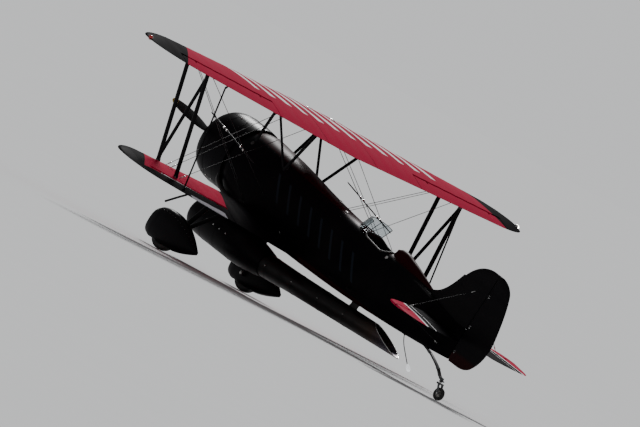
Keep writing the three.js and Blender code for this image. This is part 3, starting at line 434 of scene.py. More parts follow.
# Copies of a shape turned about the shaft line
def roundShaft(nodes, shape, count, first):
    points = nodes.add("GeometryNodeMeshLine", {"Count": count, "Offset": (0, 0, 0)})
    angle = nodes.scaled(nodes.add("GeometryNodeInputIndex"), nodes.maths("DIVIDE", 2 * math.pi, count),
                         first)
    whole = nodes.add("GeometryNodeGeometryToInstance", {"Geometry": shape})
    return nodes.add("GeometryNodeInstanceOnPoints", {
        "Points": points, "Instance": whole, "Rotation": nodes.add("ShaderNodeCombineXYZ", {"X": angle})})


def ringTree():
    nodes, start, end = newGrower("copiesRoundShaft", ("Copies", "Int", 9), ("First turn", "Float", 0.0))
    return endGrower(nodes, roundShaft(nodes, start["Geometry"], start["Copies"], start["First turn"]),
                     start, end)


# Cooling fins stacked along each barrel, with the barrels set round the shaft
def finTree():
    nodes, start, end = newGrower(
        "finnedBarrels", ("Barrels", "Int", 9), ("Fins", "Int", 18), ("Pitch", "Float", 9.0),
        ("Radius", "Float", 90.0), ("Thickness", "Float", 3.0), ("First fin", "Float", 300.0),
        ("Station", "Float", 740.0))
    rise = nodes.add("ShaderNodeCombineXYZ", {"Z": start["Pitch"]})
    first = nodes.add("ShaderNodeCombineXYZ", {"X": nodes.times(start["Station"], -1.0),
                                               "Z": start["First fin"]})
    places = nodes.add("GeometryNodeMeshLine", {"Count": start["Fins"], "Offset": rise,
                                                "Start Location": first})
    disc = nodes.add("GeometryNodeMeshCylinder", {"Vertices": 26, "Radius": start["Radius"],
                                                  "Depth": start["Thickness"]})
    stack = nodes.add("GeometryNodeInstanceOnPoints", {"Points": places, "Instance": disc})
    return endGrower(nodes, roundShaft(nodes, stack, start["Barrels"], 0.0), start, end)


trees = {"rivets": rivetTree(), "stitches": stitchTree(), "ring": ringTree(), "fins": finTree()}


def grown(name, tree, base, values, move=None):
    piece = linked(name, base)
    modifier = piece.modifiers.new("grow", "NODES")
    modifier.node_group = trees[tree]
    for item in trees[tree].interface.items_tree:
        if item.in_out == "INPUT" and item.name in values:
            modifier[item.identifier] = values[item.name]
    mesh = baked(piece)
    piece.modifiers.clear()
    bpy.data.objects.remove(piece)
    if move is not None:
        mesh.transform(move)
    mesh.name = name
    smoothed(mesh, 40)
    return mesh


def lineMesh(lines):
    points, edges = [], []
    for line in lines:
        start = len(points)
        points += toRow(line).tolist()
        edges += [(start + k, start + k + 1) for k in range(len(line) - 1)]
    mesh = bpy.data.meshes.new("lines")
    mesh.from_pydata(points, edges, [])
    return mesh


def rivets(name, lines, material, spacing=45, head=3.2):
    dress(grown(name, "rivets", lineMesh(lines), {"Spacing": spacing * 0.001, "Head": head * 0.001,
                                                  "Material": material}), [material])


# A shape whose copies the ring tree turns about the shaft, in flight millimetres
def flightMesh(parts):
    mesh = plainMesh("base", parts)
    mesh.transform(rowMatrix.inverted())
    joined(mesh, 1e-2, 0)
    return mesh


print("node trees built")


# Weathering: soft blotches, fine specks and a grime mask
def wearGroup():
    nodes, start, end = newTree("ShaderNodeTree", "weathering", [
        ("Place", "Vector"), ("Scale", "Float", 1.0), ("Grime", "Float", 0.4)],
        [("Blotch", "Float"), ("Speck", "Float"), ("Grime", "Float")])
    large = nodes.noise(start["Place"], start["Scale"], 5.0)
    fine = nodes.noise(start["Place"], nodes.times(start["Scale"], 38.0), 3.0)
    much = nodes.times(nodes.ramp(large, 0.42, 0.72), start["Grime"])
    for label, value in (("Blotch", large), ("Speck", nodes.ramp(fine, 0.6, 0.72)), ("Grime", much)):
        nodes.tree.links.new(value, end[label])
    return nodes.tree


# Threads of a doped cloth, both ways
def clothGroup():
    nodes, start, end = newTree("ShaderNodeTree", "clothThreads", [
        ("Place", "Vector"), ("Threads", "Float", 500.0)], [("Height", "Float")])
    waves = [nodes.add("ShaderNodeTexWave", {"Vector": start["Place"], "Scale": start["Threads"],
                                             "Distortion": 0.6, "Detail": 1.0}, "Fac",
                       bands_direction=direction) for direction in ("X", "Y")]
    nodes.tree.links.new(nodes.times(*waves), end["Height"])
    return nodes.tree


# Pores and folds of leather
def leatherGroup():
    nodes, start, end = newTree("ShaderNodeTree", "leatherGrain", [
        ("Place", "Vector"), ("Scale", "Float", 350.0)], [("Height", "Float"), ("Fade", "Float")])
    cells = nodes.add("ShaderNodeTexVoronoi", {"Vector": start["Place"], "Scale": start["Scale"]},
                      feature="DISTANCE_TO_EDGE")
    nodes.tree.links.new(nodes.ramp(cells, 0.0, 0.12), end["Height"])
    nodes.tree.links.new(nodes.noise(start["Place"], 14.0, 6.0), end["Fade"])
    return nodes.tree


# Fine drawn lines of worked metal
def brushedGroup():
    nodes, start, end = newTree("ShaderNodeTree", "drawnLines", [
        ("Place", "Vector"), ("Stretch", "Vector", (6.0, 900.0, 900.0))],
        [("Height", "Float"), ("Shade", "Float")])
    stretched = nodes.add("ShaderNodeVectorMath", {0: start["Place"], 1: start["Stretch"]},
                          operation="MULTIPLY")
    nodes.tree.links.new(nodes.noise(stretched, 1.0, 4.0), end["Height"])
    nodes.tree.links.new(nodes.noise(start["Place"], 9.0, 4.0), end["Shade"])
    return nodes.tree


groups = {"wear": wearGroup(), "cloth": clothGroup(), "leather": leatherGroup(), "drawn": brushedGroup()}


paintRed, paintBlack, paintWhite = (0.40, 0.010, 0.047), (0.0035, 0.003, 0.0042), (0.86, 0.86, 0.87)
# The pale grey-blue strip colour is a painted reflection of the sky
maroon, dimBlue, paintedSkyReflection = (0.022, 0.0018, 0.003), (0.017, 0.022, 0.031), (0.42, 0.42, 0.46)
clothSizes = {"threads": 420.0, "strength": 0.12, "depth": 0.0004, "specular": 0.002}
socketNames = {"specular": "Specular IOR Level", "coat": "Coat Weight",
               "transmission": "Transmission Weight", "ior": "IOR"}


# A material. Its place is the object coordinates turned back to the flight frame, in metres
class Paint(Nodes):
    def __init__(self, name, colour, roughness=0.4, metallic=0.0, **surface):
        self.material = bpy.data.materials.new(name)
        self.material.use_nodes = True
        super().__init__(self.material.node_tree)
        self.shader = self.tree.nodes["Principled BSDF"].inputs
        self.material.diffuse_color = (*colour, 1)
        fixed = {"Base Color": (*colour, 1), "Roughness": roughness, "Metallic": metallic}
        fixed.update({socketNames[key]: value for key, value in surface.items()})
        for label, value in fixed.items():
            self.shader[label].default_value = value
        self.own = self.add("ShaderNodeTexCoord", out="Object")
        self.place = self.add("ShaderNodeMapping", {"Vector": self.own, "Rotation": (0, parkPitch, 0),
                                                    "Location": tuple(-(turn.T @ np.array(hub)))})
        x, self.y, self.z = (self.split(self.place, k) for k in range(3))
        self.span = self.maths("ABSOLUTE", self.y)
        self.station = self.times(x, -1.0)

    def split(self, vector, axis):
        return self.add("ShaderNodeSeparateXYZ", {0: vector}, axis)

    def give(self, label, value):
        self.tree.links.new(value, self.shader[label])

    def bump(self, height, strength=0.3, distance=0.001, below=None):
        inputs = {"Height": height, "Strength": strength, "Distance": distance}
        if below is not None:
            inputs["Normal"] = below
        self.give("Normal", self.add("ShaderNodeBump", inputs))
        return self.material

    # Paint with blotches, specks, grime and a roughness that changes with them
    def weathered(self, colour, roughness, grime=0.3, scale=2.2):
        wear = self.group("wear", Place=self.place, Scale=scale, Grime=grime)
        dusty = self.mix(self.times(wear["Grime"], 0.06), colour, (0.20, 0.17, 0.14))
        self.give("Base Color", self.mix(self.times(wear["Speck"], 0.02), dusty, (0.32, 0.29, 0.26)))
        rough = self.scaled(wear["Grime"], 0.30, roughness - 0.03)
        self.give("Roughness", self.scaled(wear["Blotch"], 0.10, rough))

    def threads(self):
        return self.group("cloth", Place=self.place, Threads=clothSizes["threads"])["Height"]

    def clothBump(self):
        return self.bump(self.threads(), clothSizes["strength"], clothSizes["depth"])



def glossPaint(name, colour, roughness=0.3, grime=0.3, **surface):
    paint = Paint(name, colour, roughness, **surface)
    paint.weathered(colour, roughness, grime)
    return paint.bump(paint.noise(paint.place, 180.0, 2.0), 0.10, 0.0006)


# Doped cloth on a wing: black tips past a slanted line, and tapes over the ribs
def wingPaint(name, tipStart, slope, pattern, ribs=0.3):
    paint = Paint(name, paintRed, 0.48, specular=clothSizes["specular"])
    slant = paint.scaled(paint.station, slope, paint.span)
    tip = paint.ramp(slant, tipStart, tipStart + 0.004)
    paint.weathered(paint.mix(tip, pattern(paint), paintBlack), 0.42, 0.35, 1.4)
    cloth = paint.add("ShaderNodeBump", {"Height": paint.threads(), "Strength": clothSizes["strength"],
                                         "Distance": clothSizes["depth"]})
    along = paint.maths("PINGPONG", paint.maths("SUBTRACT", paint.span, 0.6), ribs / 2)
    return paint.bump(paint.ramp(along, 0.027, 0.024), 0.5, 0.0007, cloth)


# Slanted white bars along the top of the upper wing
barSizes = {"lean": 0.8, "half": 0.2, "edge": (0.128, 0.132), "reach": (-0.8, 4.0),
            "stations": (1.66, 2.3), "topOnly": (1.13, 1.15)}


def upperPattern(paint):
    s = barSizes
    lean = paint.scaled(paint.station, s["lean"], paint.y)
    stroke = paint.ramp(paint.maths("PINGPONG", lean, s["half"]), *s["edge"])
    field = paint.times(paint.band(lean, *s["reach"]), paint.band(paint.station, *s["stations"]))
    return paint.mix(paint.times(stroke, field, paint.ramp(paint.z, *s["topOnly"])), paintRed, paintWhite)


# A black walkway inboard on the top, widened and slanted to stand in for the fuselage's shadow (painted
# shadow), a black rear band behind a white line, and a pale strip that is a painted reflection of the sky
panelSizes = {"line": (2.925, 2.96), "lineSpan": (2.2, 3.4), "rear": (2.958, 2.962),
              "strip": (3.14, 3.144), "reflectionSpan": (1.95, 2.8), "walkwayAndPaintedShadow": (0.306, 0.3)}


def lowerPattern(paint):
    s = panelSizes
    upside = paint.ramp(paint.split(paint.add("ShaderNodeNewGeometry", out="Normal"), 2), 0.0, 0.05)
    # Inboard black on the top: a walkway whose slanted edge is a painted shadow of the fuselage
    inboard = paint.ramp(paint.scaled(paint.station, -0.5, paint.span), *s["walkwayAndPaintedShadow"])
    line = paint.times(paint.band(paint.station, *s["line"]), paint.band(paint.span, *s["lineSpan"]))
    # Pale strip on the lower aileron: a painted reflection of the sky
    strip = paint.times(paint.ramp(paint.station, *s["strip"]), paint.band(paint.span, *s["reflectionSpan"]))
    colour = paint.mix(paint.times(upside, inboard), paintRed, paintBlack)
    colour = paint.mix(line, colour, paintWhite)
    colour = paint.mix(paint.ramp(paint.station, *s["rear"]), colour, paintBlack)
    return paint.mix(strip, colour, paintedSkyReflection)


# The fuselage: near-black sides, a maroon deck and belly, and dim slanted bars
hullMarks = {"deckEdge": 0.545, "deckSlope": -0.062, "deckEnd": (6.3, 6.2), "bellyEdge": -0.615,
             "belly": (1.5, 5.6), "lean": 0.7, "half": 0.14, "edge": (0.112, 0.116),
             "reach": (2.24, 4.48), "drop": 0.124, "dropFrom": 2.4, "rows": (-0.16, 0.2), "strength": 0.8,
             "cloth": (4.9, 5.0)}


def hullPaint():
    s = hullMarks
    paint = Paint("hullPaint", paintBlack, 0.42, specular=0.015)
    deckEdge = paint.scaled(paint.station, s["deckSlope"], s["deckEdge"])
    deck = paint.times(paint.ramp(paint.maths("SUBTRACT", paint.z, deckEdge), 0.0, 0.006),
                       paint.ramp(paint.station, *s["deckEnd"]))
    low = paint.ramp(paint.maths("SUBTRACT", paint.z, s["bellyEdge"]), 0.0, -0.006)
    belly = paint.times(low, paint.band(paint.station, *s["belly"]))
    lean = paint.scaled(paint.z, s["lean"], paint.station)
    stroke = paint.ramp(paint.maths("PINGPONG", lean, s["half"]), *s["edge"])
    sunk = paint.scaled(paint.maths("SUBTRACT", paint.station, s["dropFrom"]), s["drop"], paint.z)
    dim = paint.times(stroke, paint.band(lean, *s["reach"]), paint.band(sunk, *s["rows"]), s["strength"])
    colour = paint.mix(deck, paint.mix(dim, paintBlack, dimBlue), maroon)
    paint.weathered(paint.mix(belly, colour, maroon), 0.34, 0.25, 1.6)
    rear = paint.times(paint.threads(), paint.ramp(paint.station, *s["cloth"]))
    return paint.bump(rear, clothSizes["strength"], clothSizes["depth"])


# Tail planes: red, with a black field and white lines that run along the tip's slant
tailMarks = {"slope": -0.3, "red": (-1.02, -1.016), "lines": ((-1.02, -0.97), (-1.2, -1.18)), "soft": 0.002}


def tailPaint():
    s = tailMarks
    paint = Paint("tailPaint", paintRed, 0.48, specular=clothSizes["specular"])
    edge = paint.scaled(paint.station, s["slope"], paint.span)
    white = paint.maths("MAXIMUM", *(paint.band(edge, *line, s["soft"]) for line in s["lines"]))
    field = paint.mix(paint.ramp(edge, *s["red"]), paintBlack, paintRed)
    paint.weathered(paint.mix(white, field, paintWhite), 0.42, 0.3, 1.6)
    return paint.clothBump()


# The fin and rudder: black cloth, maroon below the fuselage
def finPaint(maroonFrom=-0.30, maroonAt=-0.36):
    paint = Paint("clothBlack", paintBlack, 0.36, specular=0.07)
    paint.weathered(paint.mix(paint.ramp(paint.z, maroonFrom, maroonAt), paintBlack, maroon), 0.36, 0.25, 1.8)
    return paint.clothBump()


def bareMetal(name, colour, roughness, stretch=(8.0, 700.0, 700.0), grime=0.5):
    paint = Paint(name, colour, roughness, 1.0)
    lines = paint.group("drawn", Place=paint.place, Stretch=stretch)
    wear = paint.group("wear", Place=paint.place, Scale=7.0, Grime=grime)
    shaded = paint.mix(lines["Shade"], tuple(0.72 * c for c in colour), colour)
    paint.give("Base Color", paint.mix(wear["Grime"], shaded, (0.03, 0.022, 0.016)))
    rough = paint.scaled(lines["Height"], 0.16, roughness - 0.06)
    paint.give("Roughness", paint.scaled(wear["Grime"], 0.3, rough))
    return paint.bump(lines["Height"], 0.16, 0.0004)


# Steel of the tailpipe: dark metal that takes heat colours towards the open end
heatTints = [(0.0, (0.010, 0.009, 0.009)), (0.35, (0.016, 0.013, 0.012)), (0.6, (0.05, 0.03, 0.022)),
             (0.8, (0.06, 0.05, 0.08)), (1.0, (0.13, 0.09, 0.06))]
heatReach = (4.6, 6.4)


def pipeMetal():
    paint = Paint("pipeMetal", (0.03, 0.028, 0.026), 0.45, 0.6)
    wear = paint.group("wear", Place=paint.place, Scale=3.0, Grime=0.6)
    heat = paint.ramp(paint.scaled(wear["Blotch"], 0.5, paint.station), *heatReach)
    tints = paint.tree.nodes.new("ShaderNodeValToRGB")
    while len(tints.color_ramp.elements) < len(heatTints):
        tints.color_ramp.elements.new(0.5)
    for element, (spot, colour) in zip(tints.color_ramp.elements, heatTints):
        element.position, element.color = spot, (*colour, 1)
    paint.give("Base Color", paint.fill(tints, {0: heat})[0])
    paint.give("Roughness", paint.scaled(wear["Grime"], 0.4, 0.36))
    lines = paint.group("drawn", Place=paint.place, Stretch=(6.0, 400.0, 400.0))
    return paint.bump(lines["Height"], 0.15, 0.0005)


def softLeather(name, colour):
    paint = Paint(name, colour, 0.55)
    grain = paint.group("leather", Place=paint.own, Scale=420.0)
    worn = paint.mix(paint.ramp(grain["Fade"], 0.45, 0.75), colour, tuple(min(1, 2.2 * c) for c in colour))
    paint.give("Base Color", worn)
    paint.give("Roughness", paint.scaled(grain["Fade"], 0.3, 0.4))
    return paint.bump(grain["Height"], 0.35, 0.0006)


def tyreRubber(colour=(0.018, 0.018, 0.019), dust=(0.10, 0.085, 0.07)):
    paint = Paint("tyreRubber", colour, 0.75)
    wear = paint.group("wear", Place=paint.place, Scale=9.0, Grime=0.8)
    paint.give("Base Color", paint.mix(paint.times(wear["Grime"], 0.5), colour, dust))
    paint.give("Roughness", paint.scaled(wear["Blotch"], 0.25, 0.6))
    return paint.bump(wear["Speck"], 0.3, 0.0006)


# Black blades with a yellow tip, by the distance from the hub, so that they can turn
def bladePaint(tipFrom=1.12, tipTint=(0.55, 0.42, 0.06)):
    paint = Paint("bladePaint", (0.02, 0.02, 0.022), 0.35, 0.2)
    away = paint.add("ShaderNodeVectorMath", {0: paint.own, 1: tuple(hub)}, "Value", operation="DISTANCE")
    wear = paint.group("wear", Place=paint.own, Scale=6.0, Grime=0.5)
    body = paint.mix(paint.times(wear["Speck"], 0.12), (0.012, 0.012, 0.013), (0.25, 0.25, 0.25))
    paint.give("Base Color", paint.mix(paint.ramp(away, tipFrom, tipFrom + 0.01), body, tipTint))
    paint.give("Roughness", paint.scaled(wear["Grime"], 0.3, 0.33))
    return paint.bump(wear["Speck"], 0.2, 0.0004)


def clearPanel():
    paint = Paint("clearPanel", (0.62, 0.68, 0.70), 0.04, transmission=1.0, ior=1.45)
    wear = paint.group("wear", Place=paint.place, Scale=12.0, Grime=0.5)
    paint.give("Roughness", paint.scaled(wear["Speck"], 0.12, 0.03))
    return paint.material


def lamp(name, colour, strength):
    paint = Paint(name, colour, 0.08, coat=1.0)
    ribs = paint.add("ShaderNodeTexWave", {"Vector": paint.place, "Scale": 90.0}, "Fac")
    paint.give("Base Color", paint.mix(ribs, colour, tuple(0.7 * c for c in colour)))
    paint.shader["Emission Color"].default_value = (*colour, 1)
    paint.shader["Emission Strength"].default_value = strength
    return paint.bump(ribs, 0.3, 0.0005)


def webbing():
    paint = Paint("webbing", (0.05, 0.045, 0.04), 0.8)
    threads = paint.group("cloth", Place=paint.own, Threads=260.0)["Height"]
    paint.give("Base Color", paint.mix(threads, (0.03, 0.028, 0.025), (0.09, 0.082, 0.07)))
    return paint.bump(threads, 0.5, 0.0008)


upperCloth = wingPaint("upperWingCloth", 2.064, -0.7, upperPattern)
lowerCloth = wingPaint("lowerWingCloth", 1.6, -0.75, lowerPattern)
hullCoat = hullPaint()
tailCloth = tailPaint()
finCloth = finPaint()
blackGloss = glossPaint("blackGloss", paintBlack, 0.34, 0.2, specular=0.06)
cowlGloss = glossPaint("cowlGloss", paintBlack, 0.26, 0.15, specular=0.03)
interiorPaint = glossPaint("interiorPaint", (0.055, 0.07, 0.06), 0.5, 0.6)
dashPaint = glossPaint("dashPaint", (0.02, 0.02, 0.021), 0.6, 0.4)
crackleGrey = glossPaint("caseGrey", (0.10, 0.105, 0.11), 0.45, 0.7)
engineMetal = bareMetal("engineMetal", (0.42, 0.41, 0.39), 0.42)
finMetal = bareMetal("finMetal", (0.12, 0.115, 0.11), 0.5, grime=0.8)
stayMetal = bareMetal("stayMetal", (0.028, 0.028, 0.03), 0.42, grime=0.2)
brightMetal = bareMetal("brightMetal", (0.78, 0.77, 0.75), 0.16, grime=0.12)
brassMetal = bareMetal("brassMetal", (0.50, 0.36, 0.14), 0.3, grime=0.4)
springSteel = bareMetal("springSteel", (0.10, 0.10, 0.105), 0.45, (8.0, 300.0, 300.0), 0.7)
pipeSteel = pipeMetal()
brownLeather = softLeather("brownLeather", (0.10, 0.042, 0.018))
blackLeather = softLeather("blackLeather", (0.018, 0.016, 0.015))
threadPale = glossPaint("thread", (0.35, 0.30, 0.22), 0.8, 0.2)
rubber = tyreRubber()
bladeCoat = bladePaint()
glass = clearPanel()
beltCloth = webbing()
lampWhite = lamp("lampWhite", (1.0, 0.97, 0.9), 25.0)
lampRed = lamp("lampRed", (0.5, 0.01, 0.01), 0.1)
# The spray nozzle is no lamp: its glow is a painted glint
nozzleWhite = lamp("nozzleWhite", (0.85, 0.87, 0.9), 0.9)
dialFace = glossPaint("dialFace", (0.012, 0.012, 0.012), 0.3, 0.1)
dialMark = glossPaint("dialMark", (0.75, 0.75, 0.68), 0.5, 0.1)
print("materials made")


wingSizes = {"camber": 0.035, "camberAt": 0.4, "thickness": 0.125, "trail": 6, "ribPitch": 300,
             "ribSag": 4.0, "hingeShare": 0.76, "aileronInner": 1750, "clear": 12, "gap": 9,
             "thinnest": 2.2, "step": 50}
upperPlan = {"root": (1362, 1582, 1117), "tip": (1915, 800, 1178), "rise": 0.057, "round": 860,
             "half": 4610, "outer": 3990}
lowerPlan = {"root": (1785, 1600, -632), "tip": (2335, 785, -512), "rise": 0.075, "round": 640,
             "half": 4170, "outer": 3640}


# Leading edge, chord and height of a wing at a span place. The tip is rounded
def planAt(plan, y):
    share = y / plan["half"]
    lead, chord, z = (a + (b - a) * share for a, b in zip(plan["root"], plan["tip"]))
    into = max(0.0, (y - plan["half"] + plan["round"]) / plan["round"])
    narrow = math.sqrt(max(0.004, 1 - into ** 2))
    return lead + 0.52 * chord * (1 - narrow), chord * narrow, z


def ribSag(y, share):
    s = wingSizes
    window = np.clip((share - 0.08) / 0.15, 0, 1) * np.clip((1 - share) / 0.06, 0, 1)
    return s["ribSag"] * math.sin(math.pi * (y - 600) / s["ribPitch"]) ** 2 * window


# Top, bottom and middle height of the wing section, and its half thickness
def foilHeights(plan, y, station, sag=True):
    s = wingSizes
    lead, chord, z = planAt(plan, abs(y))
    share = np.clip((np.asarray(station, float) - lead) / chord, 0, 1)
    half = 5 * s["thickness"] * (0.2969 * np.sqrt(share) - 0.126 * share - 0.3516 * share ** 2
                                 + 0.2843 * share ** 3 - 0.1036 * share ** 4)
    m, p = s["camber"], s["camberAt"]
    camber = np.where(share < p, m / p ** 2 * (2 * p * share - share ** 2),
                      m / (1 - p) ** 2 * (1 - 2 * p + 2 * p * share - share ** 2))
    middle = z + (0.5 - share) * plan["rise"] * chord + camber * chord
    deep = half * chord + s["trail"] / 2 * share
    if sag:
        deep = np.maximum(deep - ribSag(abs(y), share) * chord / plan["root"][1], s["thinnest"])
    return middle + deep, middle - deep, middle, half * chord


def foilPoint(plan, y, share, face="middle"):
    lead, chord, _ = planAt(plan, y)
    heights = foilHeights(plan, y, lead + share * chord, False)
    height = heights[("top", "bottom", "middle").index(face)]
    return at(lead + share * chord, y, float(height)), float(heights[3])


def hingeLine(plan):
    s = wingSizes
    inner, innerHalf = foilPoint(plan, s["aileronInner"], s["hingeShare"])
    outer, outerHalf = foilPoint(plan, plan["outer"], s["hingeShare"])
    return inner, outer, innerHalf, outerHalf


# Station and height of the aileron's hinge, and its nose radius
def onHinge(plan, y):
    inner, outer, innerHalf, outerHalf = hingeLine(plan)
    t = (y - inner[1]) / (outer[1] - inner[1])
    point = inner + (outer - inner) * t
    return -point[0], point[2], innerHalf + (outerHalf - innerHalf) * t


def lugPlaces(plan):
    inner, outer = wingSizes["aileronInner"], plan["outer"]
    return [inner + share * (outer - inner) for share in (0.15, 0.85)]


# A section of the wing, whole or cut off in front of the aileron
def wingRing(plan, y, whole):
    s = wingSizes
    lead, chord, _ = planAt(plan, y)
    inside = min(max(y, s["aileronInner"]), plan["outer"])
    cut = onHinge(plan, inside)[0] - hingeLine(plan)[2] - s["gap"]
    if not s["aileronInner"] <= y <= plan["outer"]:
        cutLead, cutChord, _ = planAt(plan, inside)
        cut = lead + chord * (cut - cutLead) / cutChord
    front = easedIn(lead, cut, 19)
    frontTop, frontLow, _, _ = foilHeights(plan, y, front)
    if whole:
        rearX = np.linspace(cut, lead + chord, 9)[1:]
        rearTop, rearLow, _, _ = foilHeights(plan, y, rearX)
    else:
        fill = np.linspace(0, 0.5, 9)[1:]
        rearTop = frontTop[-1] + (frontLow[-1] - frontTop[-1]) * fill
        rearLow = frontLow[-1] + (frontTop[-1] - frontLow[-1]) * fill
        rearX = np.full(8, cut)
    x = np.concatenate([rearX[::-1], front[::-1], front[1:], rearX])
    z = np.concatenate([rearTop[::-1], frontTop[::-1], frontLow[1:], rearLow])
    return np.column_stack([-x, np.full(len(x), y), z])


def spanPlaces(start, plan, extra):
    stop, straight = plan["half"], plan["half"] - plan["round"]
    ys = [*np.arange(start, straight, wingSizes["step"]), *easedOut(straight, stop, 22)]
    ys = [y for y in ys if start <= y < stop and all(abs(y - e) > 6 for e in extra)]
    return sorted(ys + [start, stop, *extra])


# An eye round a hinge pin, on a plate that reaches forward to x = cut
def eyeOutline(x, z, cut, radius=14, half=9):
    angle = np.linspace(-2.2, 2.2, 12)
    eye = np.column_stack([x + radius * np.cos(angle), z + radius * np.sin(angle)])
    return np.vstack([[cut, z - half], eye, [cut, z + half]])


def wingPanel(plan, rootY):
    inner, outer = wingSizes["aileronInner"], plan["outer"]
    rings = []
    for y in spanPlaces(rootY, plan, (inner, outer)):
        if y == outer:
            rings.append(wingRing(plan, y, False))
        rings.append(wingRing(plan, y, not inner < y < outer))
        if y == inner:
            rings.append(wingRing(plan, y, False))
    panel = [loft(rings)]
    for y in lugPlaces(plan):
        x, z, _ = onHinge(plan, y)
        outline = eyeOutline(x, z, x - hingeLine(plan)[2] - wingSizes["gap"] - 6) * (-1, 1)
        panel.append((*plate(outline, (y - 12, y + 12)), 1))
        panel.append((*rod((-x, y - 17, z), (-x, y + 17, z), 6, 12, 2), 1))
    return panel


# A flap's section: a round nose on the hinge at (x, z), or cut square behind it at a lug
def flapRing(heights, x, z, radius, aftX, notch):
    back = x + (radius + 6 if notch else 0)
    nose = np.linspace(math.pi / 2, 1.5 * math.pi, 13)
    rear = np.linspace(back, aftX, 12)
    top, low = heights(rear)
    noseX = np.full(13, back) if notch else x + radius * np.cos(nose)
    noseZ = np.linspace(top[0], low[0], 13) if notch else z + radius * np.sin(nose)
    return np.concatenate([rear[::-1], noseX, rear]), np.concatenate([top[::-1], noseZ, low])


def aileronRing(plan, y, notch):
    x, z, radius = onHinge(plan, y)
    lead, chord, _ = planAt(plan, y)
    px, pz = flapRing(lambda s: foilHeights(plan, y, s)[:2], x, z, radius, lead + chord, notch)
    return np.column_stack([-px, np.full(len(px), y), pz])


def notchedRings(ring, ys, lugs, reach=21):
    rings = []
    marks = [(y, (False,)) for y in ys if all(abs(y - lug) > reach + 3 for lug in lugs)]
    marks += [(lug + way * reach, order) for lug in lugs for way, order in
              ((-1, (False, True)), (1, (True, False)))]
    for y, order in sorted(marks, key=lambda mark: mark[0]):
        rings += [ring(y, notch) for notch in order]
    return rings


linkSizes = {"y": 2930, "arm": 120, "lowReach": 24, "highReach": 46, "hornY": (-25, -17), "hornBase": 34,
             "hornEye": 13}


# The pin of an aileron's horn, and the height of the wing's middle there
def linkPin(plan, topSide):
    s = linkSizes
    lead, chord, _ = planAt(plan, s["y"])
    station = lead + chord * (wingSizes["hingeShare"] + s["arm"] / chord)
    _, _, middle, half = foilHeights(plan, s["y"], station, False)
    height = middle + half + s["lowReach"] if topSide else middle - half - s["highReach"]
    return at(station, s["y"], float(height)), float(middle)


def aileron(plan, topSide):
    s, g = wingSizes, linkSizes
    start, stop = s["aileronInner"] + s["clear"], plan["outer"] - s["clear"]
    ys = [start, *np.arange(start + 38, stop - 10, s["step"]), stop]
    made = [loft(notchedRings(lambda y, notch: aileronRing(plan, y, notch), ys, lugPlaces(plan)))]
    pin, middle = linkPin(plan, topSide)
    angle = np.linspace(0, math.pi, 9) + (0 if topSide else math.pi)
    way = 1 if topSide else -1
    horn = np.vstack([np.column_stack([pin[0] + g["hornEye"] * np.cos(angle),
                                       pin[2] + g["hornEye"] * np.sin(angle)]),
                      [pin[0] - way * g["hornBase"], middle], [pin[0] + way * g["hornBase"], middle]])
    made.append((*plate(horn, [g["y"] + y for y in g["hornY"]]), 1))
    if topSide:
        made.append((*rod(pin + (0, -24, 0), pin + (0, 13, 0), 5, 12, 1.5), 1))
    return made


def centrePanel():
    rings = [wingRing(upperPlan, abs(y), True) * (1, 1 if y >= 0 else -1, 1)
             for y in np.arange(-600, 601, wingSizes["step"])]
    lead, chord, _ = planAt(upperPlan, 0)
    made = [loft(rings)]
    for y in (-300, 300):
        top = float(foilHeights(upperPlan, y, lead + 0.3 * chord, False)[0])
        made.append((*turned([(-6, 0), (-6, 46), (7, 46), (10, 42), (10, 16), (15, 13), (15, 0)],
                             at(lead + 0.3 * chord, y, top), (0, 0, 1), 28), 1))
    return made


def seamRing(plan, y, shift, grow):
    ring = wingRing(plan, y, True)
    middle = ring.mean(axis=0)
    ring[:, 1] = y + shift
    ring[:, 2] += np.sign(ring[:, 2] - middle[2]) * grow
    ring[26, 0] += grow  # the leading edge
    return ring


for name, plan, rootY, cloth in (("upper", upperPlan, 600.4, upperCloth),
                                 ("lower", lowerPlan, 270, lowerCloth)):
    makeBoth(f"{name}Panel", wingPanel(plan, rootY), [cloth, springSteel], f"{name}_wing")
    makeBoth(f"{name}Aileron", aileron(plan, name == "lower"), [cloth, springSteel], f"{name}_aileron",
             f"{name}_aileron")
make("centreWing", centrePanel(), [upperCloth, brightMetal], ("wing_centre",))
makeBoth("wingSeam", [raised(lambda w, g: seamRing(upperPlan, 606, w, g), 13, 1.4, edge=0)], upperCloth)
print("wings made")

hullTable = [
    (1150, 540, -540, 540, 2.0), (1280, 566, -612, 552, 2.1), (1650, 552, -660, 516, 2.4),
    (2150, 510, -700, 462, 2.8), (2800, 432, -735, 425, 3.0), (3500, 366, -732, 405, 3.0),
    (4200, 328, -715, 385, 2.9), (4900, 284, -680, 335, 2.7), (5600, 205, -630, 250, 2.5),
    (6200, 110, -575, 155, 2.3), (6600, 60, -530, 85, 2.2), (6895, 35, -492, 30, 2.2)]
hullSizes = {"sides": 120, "stringers": 22, "sag": 3.0, "clothFrom": 4980, "clothTo": 6880}
cockpitSizes = {"front": 4190, "rear": 4830, "half": 262, "floor": -430, "corner": 150}


# A section of the hull, with the cloth behind the cockpit drawn in between the stringers
def hullRing(station, grow=0.0, relief=True, count=hullSizes["sides"]):
    s = hullSizes
    row = between(hullTable, station)
    ring = oval(row, count, grow)
    if relief and station > s["clothFrom"]:
        turnShare = (np.arange(count) + 0.5) / count * s["stringers"]
        fade = min(1, (station - s["clothFrom"]) / 120) * min(1, (s["clothTo"] - station) / 200)
        sag = s["sag"] * np.sin(math.pi * turnShare) ** 2 * max(0, fade) * min(1, row[3] / 150)
        away = ring * (0, 1, 1) - (0, 0, (row[1] + row[2]) / 2)
        away /= np.linalg.norm(away, axis=1)[:, None]
        ring = ring - away * sag[:, None]
    return ring


